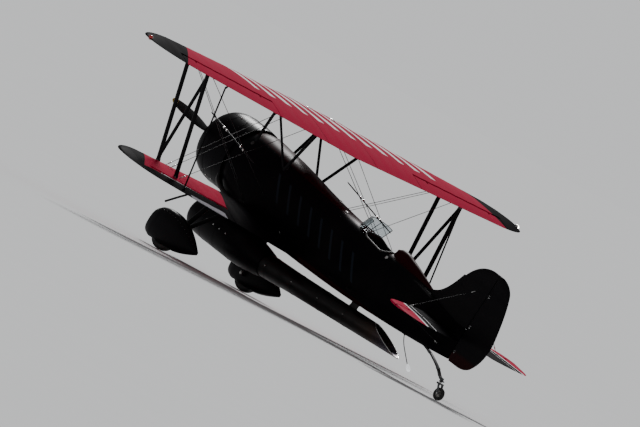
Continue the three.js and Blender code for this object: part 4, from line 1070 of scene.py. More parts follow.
def hullTop(station, y):
    _, top, bottom, half, power = between(hullTable, station)
    share = min(1, abs(y) / half)
    return (top + bottom) / 2 + (top - bottom) / 2 * (1 - share ** power) ** (1 / power)


def hullSide(station, z):
    _, top, bottom, half, power = between(hullTable, station)
    share = min(1, abs(z - (top + bottom) / 2) / ((top - bottom) / 2))
    return half * (1 - share ** power) ** (1 / power)


def onHull(station, z):
    return at(station, hullSide(station, z), z)


def cockpitOutline(inset=0.0, steps=10):
    c = cockpitSizes
    corner = c["corner"] - inset
    front, rear, points = c["front"] + c["corner"], c["rear"] - c["corner"], []
    for k, (x, side) in enumerate(((front, 1), (rear, 1), (rear, -1), (front, -1))):
        for angle in math.pi / 2 * (k + np.linspace(0, 1, steps)):
            points.append((x - corner * math.cos(angle),
                           side * (c["half"] - c["corner"]) + corner * math.sin(angle)))
    return np.array(points)


hullStations = [1150, *np.arange(1180, 6880, 40), 6895]
opening = loft([levelRing(cockpitOutline(), z) for z in (cockpitSizes["floor"], 900)])
dress(carved("fuselageSkin", [loft([hullRing(s) for s in hullStations])], [[opening]]), [hullCoat],
      ("fuselage",))


# Points along the hull at a share of the way round it
def hullLine(start, stop, share, grow=0.0, step=60, count=240):
    return np.array([hullRing(station, grow, False, count)[int(share * count) % count]
                     for station in np.arange(start, stop, step)])


def hullStrip(start, stop, share, wide=11, grow=2.1, count=240):
    index, rings = int(share * count), []
    for point in hullLine(start, stop, share, -0.6):
        ring = hullRing(-point[0], 0, False, count)
        tangent = unit(ring[(index + 1) % count] - ring[index - 1])
        out = np.cross((1, 0, 0), tangent)
        if out.dot(point * (0, 1, 1)) < 0:
            out = -out
        rings.append([point - tangent * wide, point - tangent * (wide - 1.5) + out * grow,
                      point + tangent * (wide - 1.5) + out * grow, point + tangent * wide])
    return loft(rings)


hullTrim = {"bands": (1330, 1980, 2620, 3300, 4960), "strips": (0.115, 0.885, 0.375, 0.625),
            "rivetPitch": 48, "rivetHead": 2.6}
make("hullBands", [raised(lambda w, g: hullRing(s + w, g, False, 96), 11, 1.3) for s in hullTrim["bands"]],
     hullCoat)
make("hullStrips", [hullStrip(1340, 4950, share) for share in hullTrim["strips"]], hullCoat)
rivetRings = [hullRing(s + w, 0.6, False, 96) for s in hullTrim["bands"] for w in (-7, 7)]
rivets("hullRivets", [np.vstack([ring, ring[:1]]) for ring in rivetRings]
       + [hullLine(1350, 4940, share, 1.0) for share in hullTrim["strips"]],
       hullCoat, hullTrim["rivetPitch"], hullTrim["rivetHead"])

headrestTable = [(4870, 408, 60, 118, 2.4), (4960, 425, 60, 126, 2.3), (5250, 375, 40, 104, 2.2),
                 (5600, 285, 20, 66, 2.1), (5950, 190, 0, 26, 2.0)]


def headrestRing(station):
    ring = oval(between(headrestTable, station), 48)
    front = np.clip((4925 - station) / 55, 0, 1)
    ring[:, 2] -= 16 * front ** 2 * (ring[:, 2] > 250)
    return ring


make("headrestFairing", [loft([headrestRing(s) for s in (4870, 4885, 4905, 4930, 4960,
                                                         *range(5000, 5950, 50), 5950)])],
     hullCoat, ("headrest_fairing",))
print("fuselage made")


# A start point, then straight ends of two numbers or curved ones of four: control and end
def bezier(points, steps=14):
    made = [np.array(points[0], float)]
    for item in points[1:]:
        last, end = made[-1], np.array(item[-2:], float)
        if len(item) == 2:
            made.append(end)
            continue
        control = np.array(item[:2], float)
        for t in np.linspace(0, 1, steps + 1)[1:]:
            made.append((1 - t) ** 2 * last + 2 * t * (1 - t) * control + t ** 2 * end)
    return np.array(made)


finEdge = bezier([(5940, 20), (6130, 370, 6262, 680), (6400, 985, 6760, 1016), (7130, 1050, 7282, 856),
                  (7420, 630, 7535, 120), (7585, -210, 7400, -420), (7290, -520, 7050, -504),
                  (6900, -494), (6600, -300)])
planeEdge = bezier([(6060, 0), (6120, 250), (6310, 1000, 6450, 1290), (6540, 1470, 6800, 1480),
                    (7170, 1480, 7290, 1230), (7360, 900, 7335, 560), (7330, 420, 7240, 380),
                    (6990, 165), (6800, 70), (6800, 0)])
tailSizes = {"thick": 52, "edge": 70, "tail": 7, "rudderHinge": 6930, "elevatorHinge": 6770, "planeZ": -130,
             "gap": 9, "ribPitch": 220, "ribSag": 2.5, "rudderLugs": (-340, 100, 650),
             "planeLugs": (234, 1204)}


def crossing(edge, level):
    found = []
    for a, b in zip(edge, np.roll(edge, -1, axis=0)):
        if (a[1] - level) * (b[1] - level) <= 0 and a[1] != b[1]:
            found.append(a[0] + (b[0] - a[0]) * (level - a[1]) / (b[1] - a[1]))
    return min(found), max(found)


# From 0 at the surface's edge to 1 well inside it
def insideShare(edge, x, level):
    a, point = edge, np.array([x, level])
    d = np.roll(edge, -1, axis=0) - a
    t = np.clip(((point - a) * d).sum(1) / np.maximum((d * d).sum(1), 1e-9), 0, 1)
    return min(1, float(np.min(np.linalg.norm(a + d * t[:, None] - point, axis=1))) / tailSizes["edge"])


def rounded(share):
    return math.sqrt(max(0.0, 1 - (1 - share) ** 2))


def halfDepths(edge, xs, level, hinge, rearX):
    s = tailSizes
    sag = s["ribSag"] * math.sin(math.pi * level / s["ribPitch"]) ** 2
    halves = []
    for x in xs:
        half, near = s["thick"] / 2, insideShare(edge, x, level)
        if x > hinge:
            half += (s["tail"] - half) * min(1, (x - hinge) / max(1, rearX - hinge)) ** 0.9
        halves.append(max(1.2, (half - sag * near) * rounded(near)))
    return np.array(halves)


def fixedSurface(edge, hinge, levels, place):
    cut = hinge - tailSizes["thick"] / 2 - tailSizes["gap"]
    rings = []
    for level in levels:
        fore, rear = crossing(edge, level)
        if fore > cut - 8:
            continue
        xs = easedIn(fore, cut, 15)
        halves = halfDepths(edge, xs, level, hinge, rear)
        halves[0] = 0
        rings.append([place(x, level, h) for x, h in (*zip(xs[::-1], halves[::-1]),
                                                      *zip(xs[1:], -halves[1:]))])
    return loft(rings)


def movingSurface(edge, hinge, levels, lugs, place):
    def ring(level, notch):
        rear = crossing(edge, level)[1]
        radius = max(3, tailSizes["thick"] / 2 * rounded(insideShare(edge, hinge, level)))

        def heights(xs):
            halves = halfDepths(edge, xs, level, hinge, rear)
            return halves, -halves
        px, pz = flapRing(heights, hinge, 0, radius, rear, notch)
        return [place(x, level, h) for x, h in zip(px, pz)]
    return loft(notchedRings(ring, levels, lugs))


def lugPart(hinge, level, place, fore=43):
    outline = eyeOutline(hinge, 0, hinge - fore)
    shape = loft([[place(x, level + w, h) for x, h in outline] for w in (-12, 12)])
    return [(*shape, 1), (*rod(place(hinge, level - 18, 0), place(hinge, level + 18, 0), 6, 12, 2), 1)]


def upright(x, level, h):
    return (-x, h, level)


def levelPlane(x, level, h):
    return (-x, level, tailSizes["planeZ"] + h)


s = tailSizes
topLevels = list(easedOut(880, 1012, 12))
fin = [fixedSurface(finEdge, s["rudderHinge"], [*np.arange(40, 880, 40), *topLevels], upright)]
for level in s["rudderLugs"][1:]:
    fin += lugPart(s["rudderHinge"], level, upright)
make("finSurface", fin, [finCloth, springSteel], ("fin",))
make("sternLug", lugPart(s["rudderHinge"], s["rudderLugs"][0], upright, 42), [blackGloss, springSteel])
levels = [*easedIn(-505, -400, 9, 0.04), *np.arange(-380, 880, 40), *topLevels]
make("rudderSurface", [movingSurface(finEdge, s["rudderHinge"], levels, s["rudderLugs"], upright)],
     finCloth, ("rudder",), "rudder")
outer = list(easedOut(1320, 1478, 11))
plane = [fixedSurface(planeEdge, s["elevatorHinge"], [40, *np.arange(80, 1300, 40), *outer], levelPlane)]
for level in s["planeLugs"]:
    plane += lugPart(s["elevatorHinge"], level, levelPlane)
makeBoth("stabilizerSurface", plane, [tailCloth, springSteel], "stabilizer")
flap = [movingSurface(planeEdge, s["elevatorHinge"], [86, *np.arange(110, 1300, 38), *outer], s["planeLugs"],
                      levelPlane),
        (*rod(at(6770, 0.5, -130), at(6770, 90, -130), 18, 20, 1), 1)]
makeBoth("elevatorSurface", flap, [tailCloth, springSteel], "elevator", "elevators")
print("tail made")


cowlSizes = {"segments": 144, "radius": 600, "bands": (712, 948), "bandHalf": 12, "latches": (760, 900),
             "strapFrom": 30, "straps": 3, "rivetPitch": 40}
cowlProfile = [(425, 470), (424, 478), (426, 492), (431, 506), (440, 520), (456, 538), (478, 554),
               (510, 568), (550, 580), (590, 588), (640, 595), (700, 600), (960, 600), (1060, 597),
               (1163, 588), (1165, 585), (1165, 571), (1060, 577), (960, 582), (700, 582), (590, 566),
               (500, 512), (466, 486), (440, 473)]
make("ringCowl", [aft(cowlProfile, cowlSizes["segments"], loop=True)], cowlGloss, ("engine_cowl",), smooth=50)


def hoop(station, radius, segments=144, z=0):
    angle = np.linspace(0, 2 * math.pi, segments + 1)
    return at(station, 0, z) + radius * np.column_stack([angle * 0, np.cos(angle), np.sin(angle)])


def bandProfile(station, radius, half, grow=1.6, sunk=2):
    return [(station - half, radius - sunk), (station - half + 1, radius + grow),
            (station + half - 1, radius + grow), (station + half, radius - sunk)]


cowlBands = [aft(bandProfile(s, cowlSizes["radius"], cowlSizes["bandHalf"], sunk=1), cowlSizes["segments"])
             for s in cowlSizes["bands"]]
for angle in math.radians(cowlSizes["strapFrom"]) + turns(cowlSizes["straps"], 0):
    radial = np.array([0, math.sin(angle), math.cos(angle)])
    across = np.array([0, math.cos(angle), -math.sin(angle)])
    rings = []
    for station in (470, 500, 540, 590, 640, 700, 960, 1060, 1150):
        radius = np.interp(station, [425, 440, 478, 550, 640, 700, 960, 1165],
                           [474, 520, 554, 580, 595, 600, 600, 588])
        rings.append([at(station, 0, 0) + radial * (radius + g) + across * w
                      for w, g in ((-13, -2), (-12, 2), (12, 2), (13, -2))])
    cowlBands.append(loft(rings))
    for station in cowlSizes["latches"]:
        hold = at(station, 0, 0) + radial * (cowlSizes["radius"] + 2)
        cowlBands.append((*turned([(0, 0), (0, 11), (5, 10), (8, 7), (8, 0)], hold, radial, 14), 1))
make("cowlBands", cowlBands, [cowlGloss, brightMetal])
rivets("cowlRivets", [hoop(s + w, cowlSizes["radius"] + 1) for s in cowlSizes["bands"] for w in (-8, 8)]
       + [hoop(1145, 590)],
       cowlGloss, cowlSizes["rivetPitch"], 2.6)

engineSizes = {"barrels": 9, "station": 740, "fins": 19, "finPitch": 9.6, "finRadius": 96.0, "finThick": 2.6,
               "firstFin": 286.0, "collector": (960, 440, 27), "leadRing": (604, 262, 8), "leadRadius": 4.5,
               "caseBolts": 27}
caseProfile = [(345, 0), (345, 64), (352, 70), (372, 72), (378, 84), (420, 90), (428, 98), (500, 118),
               (560, 150), (600, 178), (612, 206), (630, 232), (650, 238), (830, 240), (856, 246),
               (870, 262), (930, 296), (1115, 299), (1149, 240), (1149, 0)]
case = [aft(caseProfile, 54), aft([(130, 0), (130, 29), (134, 31.5), (345, 31.5), (345, 0)], 28),
        (*aft([(384, 88), (384, 98), (396, 98), (396, 88)], 54, loop=True), 1)]


def shaftTurn(angle):
    c, s = math.cos(angle), math.sin(angle)
    return np.array([[1, 0, 0], [0, c, s], [0, -s, c]])


def spunAround(parts, count):
    return [(part[0] @ shaftTurn(2 * math.pi * k / count), *part[1:]) for k in range(count) for part in parts]


barrel = [(180, 0), (180, 76), (236, 78), (240, 96), (252, 96), (256, 76), (300, 74), (430, 74), (452, 80),
          (470, 92), (492, 90), (508, 66), (508, 0)]
cylinder = [turned(barrel, at(engineSizes["station"], 0, 0), (0, 0, 1)),
            (*tube(through((770, 52, 470), (815, 60, 500), (870, 50, 490), (930, 30, 462), (1010, 20, 440),
                           steps=6), 22, 12), 2)]
for w in (-1, 1):
    cylinder += [
        turned([(0, 0), (0, 25), (60, 28), (86, 24), (90, 15), (90, 0)], at(700, w * 46, 466), (0, 0, 1), 14),
        (*tube([at(618, w * 27.6, 205), at(640, w * 39.1, 330), at(676, w * 46, 480)], 8.5, 8), 1),
        turned([(0, 0), (0, 15), (16, 13), (18, 0)], at(612, w * 25.3, 190), (0.35, 0, 1), 10),
        (*turned([(0, 0), (0, 9), (12, 9), (13, 12), (26, 12), (27, 7), (44, 6), (44, 0)],
                 at(666, w * 20, 440), (1, 0.0, 0.25), 8), 1)]
g = engineSizes
station, radius, thick = g["collector"]
case += [*spunAround(cylinder, g["barrels"]), (*tube(hoop(station, radius, 72)[:-1], thick, 12), 2)]
make("engineBlock", case, [crackleGrey, brightMetal, pipeSteel], ("radial_engine",))
fins = grown("coolingFins", "fins", bpy.data.meshes.new("empty"), {
    "Barrels": g["barrels"], "Fins": g["fins"], "Pitch": g["finPitch"], "Radius": g["finRadius"],
    "Thickness": g["finThick"], "First fin": g["firstFin"], "Station": float(g["station"]),
    "Material": finMetal}, rowMatrix)
dress(fins, [finMetal])
lead = tube(through((604, 14, 264), (598, 40, 330), (610, 34, 400), (640, 22, 446), steps=6),
            g["leadRadius"], 6)
station, radius, thick = g["leadRing"]
make("ignitionLeads", [tube(hoop(station, radius, 72)[:-1], thick, 8), *spunAround([lead], g["barrels"])],
     rubber)


def ringOf(name, parts, count, first, material, z=0):
    mesh = grown(name, "ring", flightMesh(parts),
                 {"Copies": count, "First turn": first, "Material": material},
                 rowMatrix @ Matrix.Translation((0, 0, z)))
    dress(mesh, [material])


ringOf("caseBolts", [turned([(0, 0), (0, 9), (7, 9), (7, 0)], at(636, 0, 214), (1, 0, 0), 6)],
       engineSizes["caseBolts"], 0.0, engineMetal)
print("engine made")

# Radius, chord, thickness and pitch along a blade
bladeTable = np.array([
    (60, 74, 70, 58), (120, 78, 66, 56), (190, 92, 56, 52), (340, 150, 34, 42), (480, 170, 27, 35),
    (620, 178, 22, 30), (760, 172, 18, 26), (900, 160, 15, 23), (1020, 142, 12, 20.5), (1120, 118, 10, 19),
    (1185, 92, 8.5, 17.6), (1215, 74, 8, 17), (1236, 50, 7, 16.4), (1249, 24, 5, 16)], float)
bladeRadii = [60, 90, 120, 150, *range(190, 1180, 45), 1185, 1205, 1222, 1236, 1244, 1249]
propSizes = {"station": 190, "restTurn": 10, "count": 26}


def bladePart():
    rings = []
    angle = turns(propSizes["count"])
    for radius in bladeRadii:
        chord, thick, pitch = (np.interp(radius, bladeTable[:, 0], bladeTable[:, k]) for k in (1, 2, 3))
        lean = math.radians(pitch)
        wide = chord / 2 * np.cos(angle)
        flat = np.clip((radius - 190) / 200, 0, 1)
        deep = thick / 2 * np.sin(angle) * (1 + 0.3 * flat * np.cos(angle))
        deep = np.where(np.sin(angle) < 0, deep * (1 - 0.35 * flat), deep)
        rings.append(np.column_stack([wide * math.sin(lean) + deep * math.cos(lean),
                                      np.full(len(angle), radius),
                                      wide * math.cos(lean) - deep * math.sin(lean)]))
    return loft(rings)


def atProp(part, *slot):
    points = part[0] @ shaftTurn(math.radians(propSizes["restTurn"])) + at(propSizes["station"], 0, 0)
    return (points, part[1], *slot)


oneBlade = bladePart()
hubBody = aft([(-190, 0), (-188, 14), (-182, 26), (-160, 46), (-130, 62), (-100, 74), (-70, 82), (-64, 86),
               (60, 88), (66, 86), (110, 86), (128, 72), (136, 60), (136, 34), (-40, 34), (-40, 0)])
propParts = [atProp(oneBlade), atProp((oneBlade[0] * (1, -1, -1), oneBlade[1])), atProp(hubBody, 1)]
for profile in ([(64, 0), (64, 46), (70, 50), (120, 48), (126, 44), (126, 0)],
                [(120, 30), (126, 41), (150, 42), (186, 40), (192, 34), (192, 0), (120, 0)]):
    propParts += [atProp(turned(profile, (0, 0, 0), (0, w, 0), 28), 1) for w in (1, -1)]
make("propellerBlades", propParts, [bladeCoat, brightMetal], ("propeller",), "propeller", 32)
clampBolts = [turned([(0, 0), (0, 7), (12, 7), (13, 5), (16, 5), (16, 0)],
                     at(propSizes["station"] + x, w * 96, 44), (0, 0, 1), 6)
              for x in (-36, 36) for w in (1, -1)]
make("propellerBolts", clampBolts, engineMetal, body="propeller")
print("propeller made")

podSizes = {"z": -1082, "segments": 96, "radius": 300, "bands": (1215, 1560, 1885), "bandHalf": 10,
            "latches": (1300, 1480, 1640, 1800), "rivetPitch": 36, "rivetHead": 2.6,
            "compressorBlades": 23, "inletVanes": 9}
podZ = podSizes["z"]
podShape = [(820, 240), (818, 244), (819, 250), (824, 257), (840, 268), (880, 279), (950, 288), (1060, 296),
            (1190, 300), (1890, 300), (2080, 291), (2280, 268), (2460, 240), (2640, 206), (2641, 200),
            (2640, 194), (2480, 200), (2230, 252), (1880, 266), (1330, 250), (990, 224), (880, 223),
            (835, 230), (824, 235)]


def onPod(profile, loop=False):
    return aft(profile, podSizes["segments"], podZ, loop)


def podHoop(station, radius):
    return hoop(station, radius, podSizes["segments"], podZ)


make("podShell", [onPod(podShape, True)], blackGloss, ("jet_pod",), smooth=45)
podBands = [onPod(bandProfile(s, podSizes["radius"], podSizes["bandHalf"])) for s in podSizes["bands"]]
podBands.append((*onPod([(818, 246), (815, 241), (819, 236), (828, 234), (829, 243)], True), 1))
podLatch = [(0, 0), (0, 12), (4, 11), (6, 8), (6, 0)]
podBands += [(*turned(podLatch, at(s, w * (podSizes["radius"] - 2), podZ + 30), (0, w, 0.1), 14), 1)
             for w in (-1, 1) for s in podSizes["latches"]]
make("podBands", podBands, [blackGloss, brightMetal])
rivets("podRivets", [podHoop(s + w, podSizes["radius"] + 1) for s in podSizes["bands"] for w in (-6, 6)]
       + [podHoop(2600, 213), podHoop(870, 277.5)], blackGloss, podSizes["rivetPitch"],
       podSizes["rivetHead"])
jetProfile = [(1120, 0), (1122, 12), (1130, 24), (1150, 37), (1200, 58), (1255, 74), (1300, 83), (1318, 88),
              (1330, 249), (1870, 249.5), (2200, 243), (2210, 210), (2280, 150), (2440, 90), (2490, 20),
              (2500, 0)]
make("jetBody", [aft(jetProfile, 72, podZ)], finMetal, ("jet_engine",))


# A blade between two stations and two radii, its lean changing from root to tip
def vane(fore, rear, inner, outer, lean, thick=3.0, bow=5):
    chord, middle = (rear - fore) / math.cos(math.radians(lean[0])), (fore + rear) / 2
    s = np.linspace(-0.5, 0.5, 7)
    rings = []
    for t in np.linspace(0, 1, 7):
        angle = math.radians(lean[0] + (lean[1] - lean[0]) * t)
        x, y = s * chord * math.cos(angle), s * chord * math.sin(angle) + bow * (1 - (2 * s) ** 2)
        top, low = (np.column_stack([-(middle + x), y + half, np.full(7, inner + (outer - inner) * t)])
                    for half in (thick / 2, -thick / 2))
        rings.append(np.vstack([top, low[::-1]]))
    return loft(rings)


ringOf("compressorBlades", [vane(1262, 1312, 78, 232, (28, 62))], podSizes["compressorBlades"], 0.1,
       engineMetal, podZ)
ringOf("inletVanes", [vane(1196, 1256, 62, 234, (4, 10))], podSizes["inletVanes"], 0.1, engineMetal,
       podZ)

pylonRings = []
for z in (-562, -600, -680, -740, -790, podZ + 250):
    chord, thick = 1050 + 30 * np.clip((z + 640) / 80, 0, 1), 96 + 20 * np.clip((z + 660) / 100, 0, 1)
    angle = turns(40, 0)
    pylonRings.append(np.column_stack([-1850 + chord / 2 * np.cos(angle),
                                       thick / 2 * np.sin(angle) * (1 + 0.3 * np.cos(angle)) * 0.94,
                                       np.full(40, z)]))
make("podPylon", [loft(pylonRings)], blackGloss, ("pod_pylon",))

pipeSizes = {"front": 2520, "slopeFrom": 2660, "rear": 6080, "slope": 0.076, "wall": 10, "limit": 6060,
             "cutTop": (5260, -740), "cutLow": (6010, -975), "cutFrom": 4740,
             "clamps": (2780, 3420, 4060, 4690)}


def pipeCentre(station):
    return podZ + max(0, station - pipeSizes["slopeFrom"]) * pipeSizes["slope"]


def pipeRadius(station):
    front, rear = pipeSizes["front"], pipeSizes["rear"]
    return np.interp(station, [front, front + 125, front + 140, front + 900, rear],
                     [192.6, 192.6, 192, 172, 146])


def cutStation(z):
    (x0, z0), (x1, z1) = pipeSizes["cutTop"], pipeSizes["cutLow"]
    return min(pipeSizes["limit"], x0 + (z - z0) * (x1 - x0) / (z1 - z0))


# A section of the pipe, moved towards its slanted end by a share of the way
def pipeRing(station, inset=0.0, share=0.0, count=64):
    angle = turns(count)
    x = np.full(count, float(station))
    for _ in range(6 if share else 0):
        height = [pipeCentre(s) + (pipeRadius(s) - inset) * math.cos(a) for s, a in zip(x, angle)]
        x = np.array([station + (cutStation(z) - station) * share for z in height])
    r = np.array([pipeRadius(s) for s in x]) - inset
    return np.column_stack([-x, r * np.sin(angle), np.array([pipeCentre(s) for s in x]) + r * np.cos(angle)])


s = pipeSizes
outside = [pipeRing(x) for x in (2520, 2600, 2645, 2660, 2700, *range(2800, 4800, 150))]
outside += [pipeRing(s["cutFrom"], 0, t) for t in np.linspace(0.02, 1, 22)]
inside = [pipeRing(s["cutFrom"], s["wall"], t) for t in np.linspace(1, 0.02, 22)]
inside += [pipeRing(x, s["wall"]) for x in (4600, 4200, 3800, 3400, 3000, 2660, 2520)]
lip = pipeRing(s["cutFrom"], s["wall"] / 2, 1.0)
pipeParts = [loft(outside + inside + outside[:1], False),
             (*tube(curve(lip[::2], 2), 6.5, 8), 1),
             strut((-4650, 0, -800), (-4650, 0, -660), 180, 24, 0.12)]
clampHeads = []
for x in s["clamps"]:
    pipeParts.append(raised(lambda w, g: pipeRing(x + w, -g), 14, 3))
    centre = at(x, pipeRadius(x) + 6, pipeCentre(x))
    clampHeads.append(rod(centre + (-16, 0, 0), centre + (16, 0, 0), 5, 8, 2))
    clampHeads.append(mirrored(clampHeads[-1]))
make("tailPipe", pipeParts, [pipeSteel, brightMetal], ("tailpipe",), smooth=50)
make("pipeClampScrews", clampHeads, brightMetal)
print("jet made")

wheelSizes = {"station": 1460, "y": 1030, "z": -1530, "radius": 258, "width": 145, "rim": 150,
              "wellGap": 24, "wellHalf": 84, "bore": 21, "bolts": 8, "segments": 32}
tailWheelSizes = {"station": 7140, "y": 0, "z": -1003, "radius": 102, "width": 58, "rim": 52, "bore": 9.7,
                  "bolts": 5, "segments": 20}
spatTable = [
    (1005, -1420, -1560, 34, 2.2), (1035, -1325, -1640, 88, 2.4), (1120, -1228, -1696, 126, 2.8),
    (1270, -1168, -1714, 146, 3), (1460, -1150, -1716, 150, 3), (1680, -1180, -1692, 140, 3),
    (1920, -1268, -1630, 106, 2.6), (2120, -1375, -1552, 54, 2.3), (2235, -1446, -1500, 14, 2)]
spatStations = [1005, 1012, 1022, 1035, 1055, 1085, *range(1120, 2220, 25), 2235]


def spatRing(station, grow=0.0):
    return oval(between(spatTable, station), 72, grow, wheelSizes["y"])


# The wheel's well, the slot under it and the axle's hole
def spatCutters():
    w = wheelSizes
    centre = at(w["station"], w["y"], w["z"])
    reach, half = w["radius"] + w["wellGap"], w["wellHalf"]
    return [rod(centre - (0, half, 0), centre + (0, half, 0), reach, 64),
            box(centre + (reach - 6, half, 0), centre - (reach - 6, half, 400), 1),
            rod(at(w["station"], 700, w["z"]), centre, 22, 24)]


def spatSeam(wide=9):
    rings = []
    for station in range(1040, 2200, 20):
        point, out, side = spatRing(station)[0], np.array([0, 0, 1.0]), np.array([0, 1.0, 0])
        rings.append([point - side * wide - out * 2, point - side * (wide - 1) + out * 1.4,
                      point + side * (wide - 1) + out * 1.4, point + side * wide - out * 2])
    return loft(rings)


# Half of a tyre's section: shares of the half width and of the depth, from bead to tread
tyreHalf = [(0.60, 0.0), (0.78, 0.06), (0.93, 0.22), (0.99, 0.42), (1.0, 0.56), (0.95, 0.74), (0.86, 0.88),
            (0.74, 0.955), (0.58, 0.985), (0.44, 0.992), (0.42, 0.955), (0.36, 0.955), (0.34, 0.995),
            (0.14, 1.0), (0.12, 0.96), (0.06, 0.96), (0.04, 1.0)]


def wheelTurned(profile, w, segments, y):
    mirrorHalf = [(-side, radius) for side, radius in reversed(profile)]
    return turned(profile + mirrorHalf, at(w["station"], y, w["z"]), (0, 1, 0), segments, True)


def tyre(w, y):
    side, inner = w["width"] / 2, w["rim"] + 2
    profile = [(-side * share, inner + (w["radius"] - inner) * deep) for share, deep in tyreHalf]
    return [wheelTurned(profile, w, w["segments"], y)]


def wheelHub(w, y):
    side, rim, bore = w["width"] / 2, w["rim"], w["bore"]
    disc = [(-side * 0.5, bore), (-side * 0.5, bore * 2), (-side * 0.44, bore * 2.3),
            (-side * 0.28, rim * 0.55), (-side * 0.3, rim * 0.84), (-side * 0.52, rim * 0.92),
            (-side * 0.6, rim + 1.5)]
    made = [wheelTurned(disc, w, 48, y)]
    size, ringAt = rim * 0.045, rim * 0.68
    for k in range(w["bolts"]):
        angle = 2 * math.pi * k / w["bolts"]
        place = at(w["station"] + ringAt * math.cos(angle), y, w["z"] + ringAt * math.sin(angle))
        made += [(*turned([(side * 0.28, 0), (side * 0.28, size), (side * 0.36, size), (side * 0.36, 0)],
                          place, (0, way, 0), 6), 1) for way in (-1, 1)]
    return made


legSizes = {"footY": 850, "footZ": -1430, "rootY": 310, "rootZ": -575, "roots": (1330, 1790),
            "chords": ((100, 42), (88, 37)), "cuff": 0.16, "blockHalf": (44, 24), "blockTop": -1392,
            "axle": 19.6}


def gearLegParts():
    w, s = wheelSizes, legSizes
    foot = at(w["station"], s["footY"], s["footZ"])
    along, across = s["blockHalf"]
    made = [strut(foot, at(root, s["rootY"], s["rootZ"]), chord, thick, s["cuff"])
            for root, (chord, thick) in zip(s["roots"], s["chords"])]
    made += [
        box(at(w["station"] + along, s["footY"] - across, w["z"] - 38),
            at(w["station"] - along, s["footY"] + across, s["blockTop"]), 8),
        (*rod(at(w["station"], s["footY"], w["z"]), at(w["station"], w["y"] + 62, w["z"]), s["axle"],
              24, 3), 1),
        (*turned([(0, 0), (0, 30), (10, 30), (16, 22), (18, 0)],
                 at(w["station"], s["footY"] - across, w["z"]), (0, -1, 0), 6), 1),
        (*tube(through((1420, 340, -646), (1440, 560, -986), (1475, 800, -1356), (1500, 838, -1466)),
               5, 8), 2)]
    for station in s["roots"]:
        made.append((*rod(at(station + 50, 322, -580), at(station - 50, 322, -580), 9, 10, 2), 1))
    return made


spatLoft = [loft([spatRing(s) for s in spatStations])]
screwRows = [np.array([spatRing(s, 0.4)[k] for s in range(1060, 2180, 20)]) for k in (9, 62)]
for word, side in sides:
    cutters = [[mirrored(c) if side < 0 else c] for c in spatCutters()]
    dress(carved(f"wheelSpat_{word}", sided(spatLoft, side), cutters), [blackGloss], (f"wheel_spat_{word}",))
    rivets(f"spatScrews_{word}", [row * (1, side, 1) for row in screwRows], engineMetal, 70, 4)
    make(f"mainTyre_{word}", tyre(wheelSizes, side * wheelSizes["y"]), rubber, (f"main_tyre_{word}",),
         f"wheel_{word}", 60)
    make(f"mainHub_{word}", wheelHub(wheelSizes, side * wheelSizes["y"]), [engineMetal, brightMetal],
         (f"main_hub_{word}",), f"wheel_{word}")
makeBoth("spatSeam", [spatSeam()], blackGloss)
makeBoth("gearLegs", gearLegParts(), [blackGloss, engineMetal, rubber], "gear_leg")

springPath = through((6280, 0, -535), (6560, 0, -592), (6820, 0, -690), (6960, 0, -775), (7080, 0, -811),
                     steps=10)
kingpinFoot = at(7035, 0, -848)
level, plumb = turn.T @ np.array([1, 0, 0]), turn.T @ np.array([0, 0, 1])


# A flat strip along a path: half its width, half its thickness and its lift off the path
def strip(path, wide, thick, lift=0.0):
    rings = []
    for point, tangent in zip(path, np.gradient(path, axis=0)):
        normal = unit(np.cross(tangent, (0, 1, 0)))
        normal = normal if normal[2] > 0 else -normal
        rings.append([point + normal * (lift + h) + np.array([0, w, 0]) for w, h in
                      ((-wide, -thick), (wide, -thick), (wide, thick), (-wide, thick))])
    return loft(rings)


spring = [strip(springPath, 31, 6.2, -6.4), strip(springPath[:34], 31, 6.2, 6.6)]
spring += [(*strip(springPath[k:k + 3], 34, 16), 1) for k in (7, 20, 32)]
spring.append((*turned([(5, 15), (5, 27), (9, 29.5), (70, 29.5), (76, 26), (76, 15)], kingpinFoot, plumb, 32,
                       loop=True), 1))
make("tailSpring", spring, [springSteel, crackleGrey], ("tail_spring",))


def onFork(x, y, z):
    return kingpinFoot + level * x + np.array([0, y, 0]) + plumb * z


def crownRing(z, inset):
    half = [(34 - inset, 40), (22, 47 - inset), (-48, 47 - inset), (-60 + inset, 40)]
    return [onFork(x, y, z) for x, y in (*half, *((x, -y) for x, y in reversed(half)))]


axle = at(tailWheelSizes["station"], 0, tailWheelSizes["z"])
fork = [loft([crownRing(z, inset) for z, inset in ((-34, 3), (-31, 0), (-8, 0), (-5, 3))]),
        (*rod(kingpinFoot - plumb * 20, kingpinFoot + plumb * 50, 13.6, 24, 2), 1),
        (*rod(axle + (0, -42, 0), axle + (0, 42, 0), 9, 20, 1), 1)]
for way in (-1, 1):
    end = axle + (0, way * 43, 0)
    fork += [strut(onFork(-22, way * 43, -18), end, 46, 9.5),
             turned([(-5, 0), (-5, 19), (5, 19), (5, 0)], end, (0, 1, 0)),
             (*turned([(5, 0), (5, 13), (12, 13), (12, 0)], end, (0, way, 0), 6), 1)]
make("tailFork", fork, [crackleGrey, brightMetal], ("tail_fork",), "tail_fork")
make("tailTyre", tyre(tailWheelSizes, 0), rubber, ("tail_tyre",), "tail_wheel", 60)
make("tailHub", wheelHub(tailWheelSizes, 0), [engineMetal, brightMetal], ("tail_hub",), "tail_wheel")
print("landing gear made")


strutSizes = {"upperY": 3170, "lowerY": 2960, "front": 0.14, "rear": 0.64, "chord": 88, "thick": 34,
              "cuff": 0.14}


# A point on the wing's skin, sunk a little so that what ends there is joined to it
def onWing(plan, y, share, face, sink=6):
    return foilPoint(plan, y, share, face)[0] + (0, 0, sink if face == "bottom" else -sink)


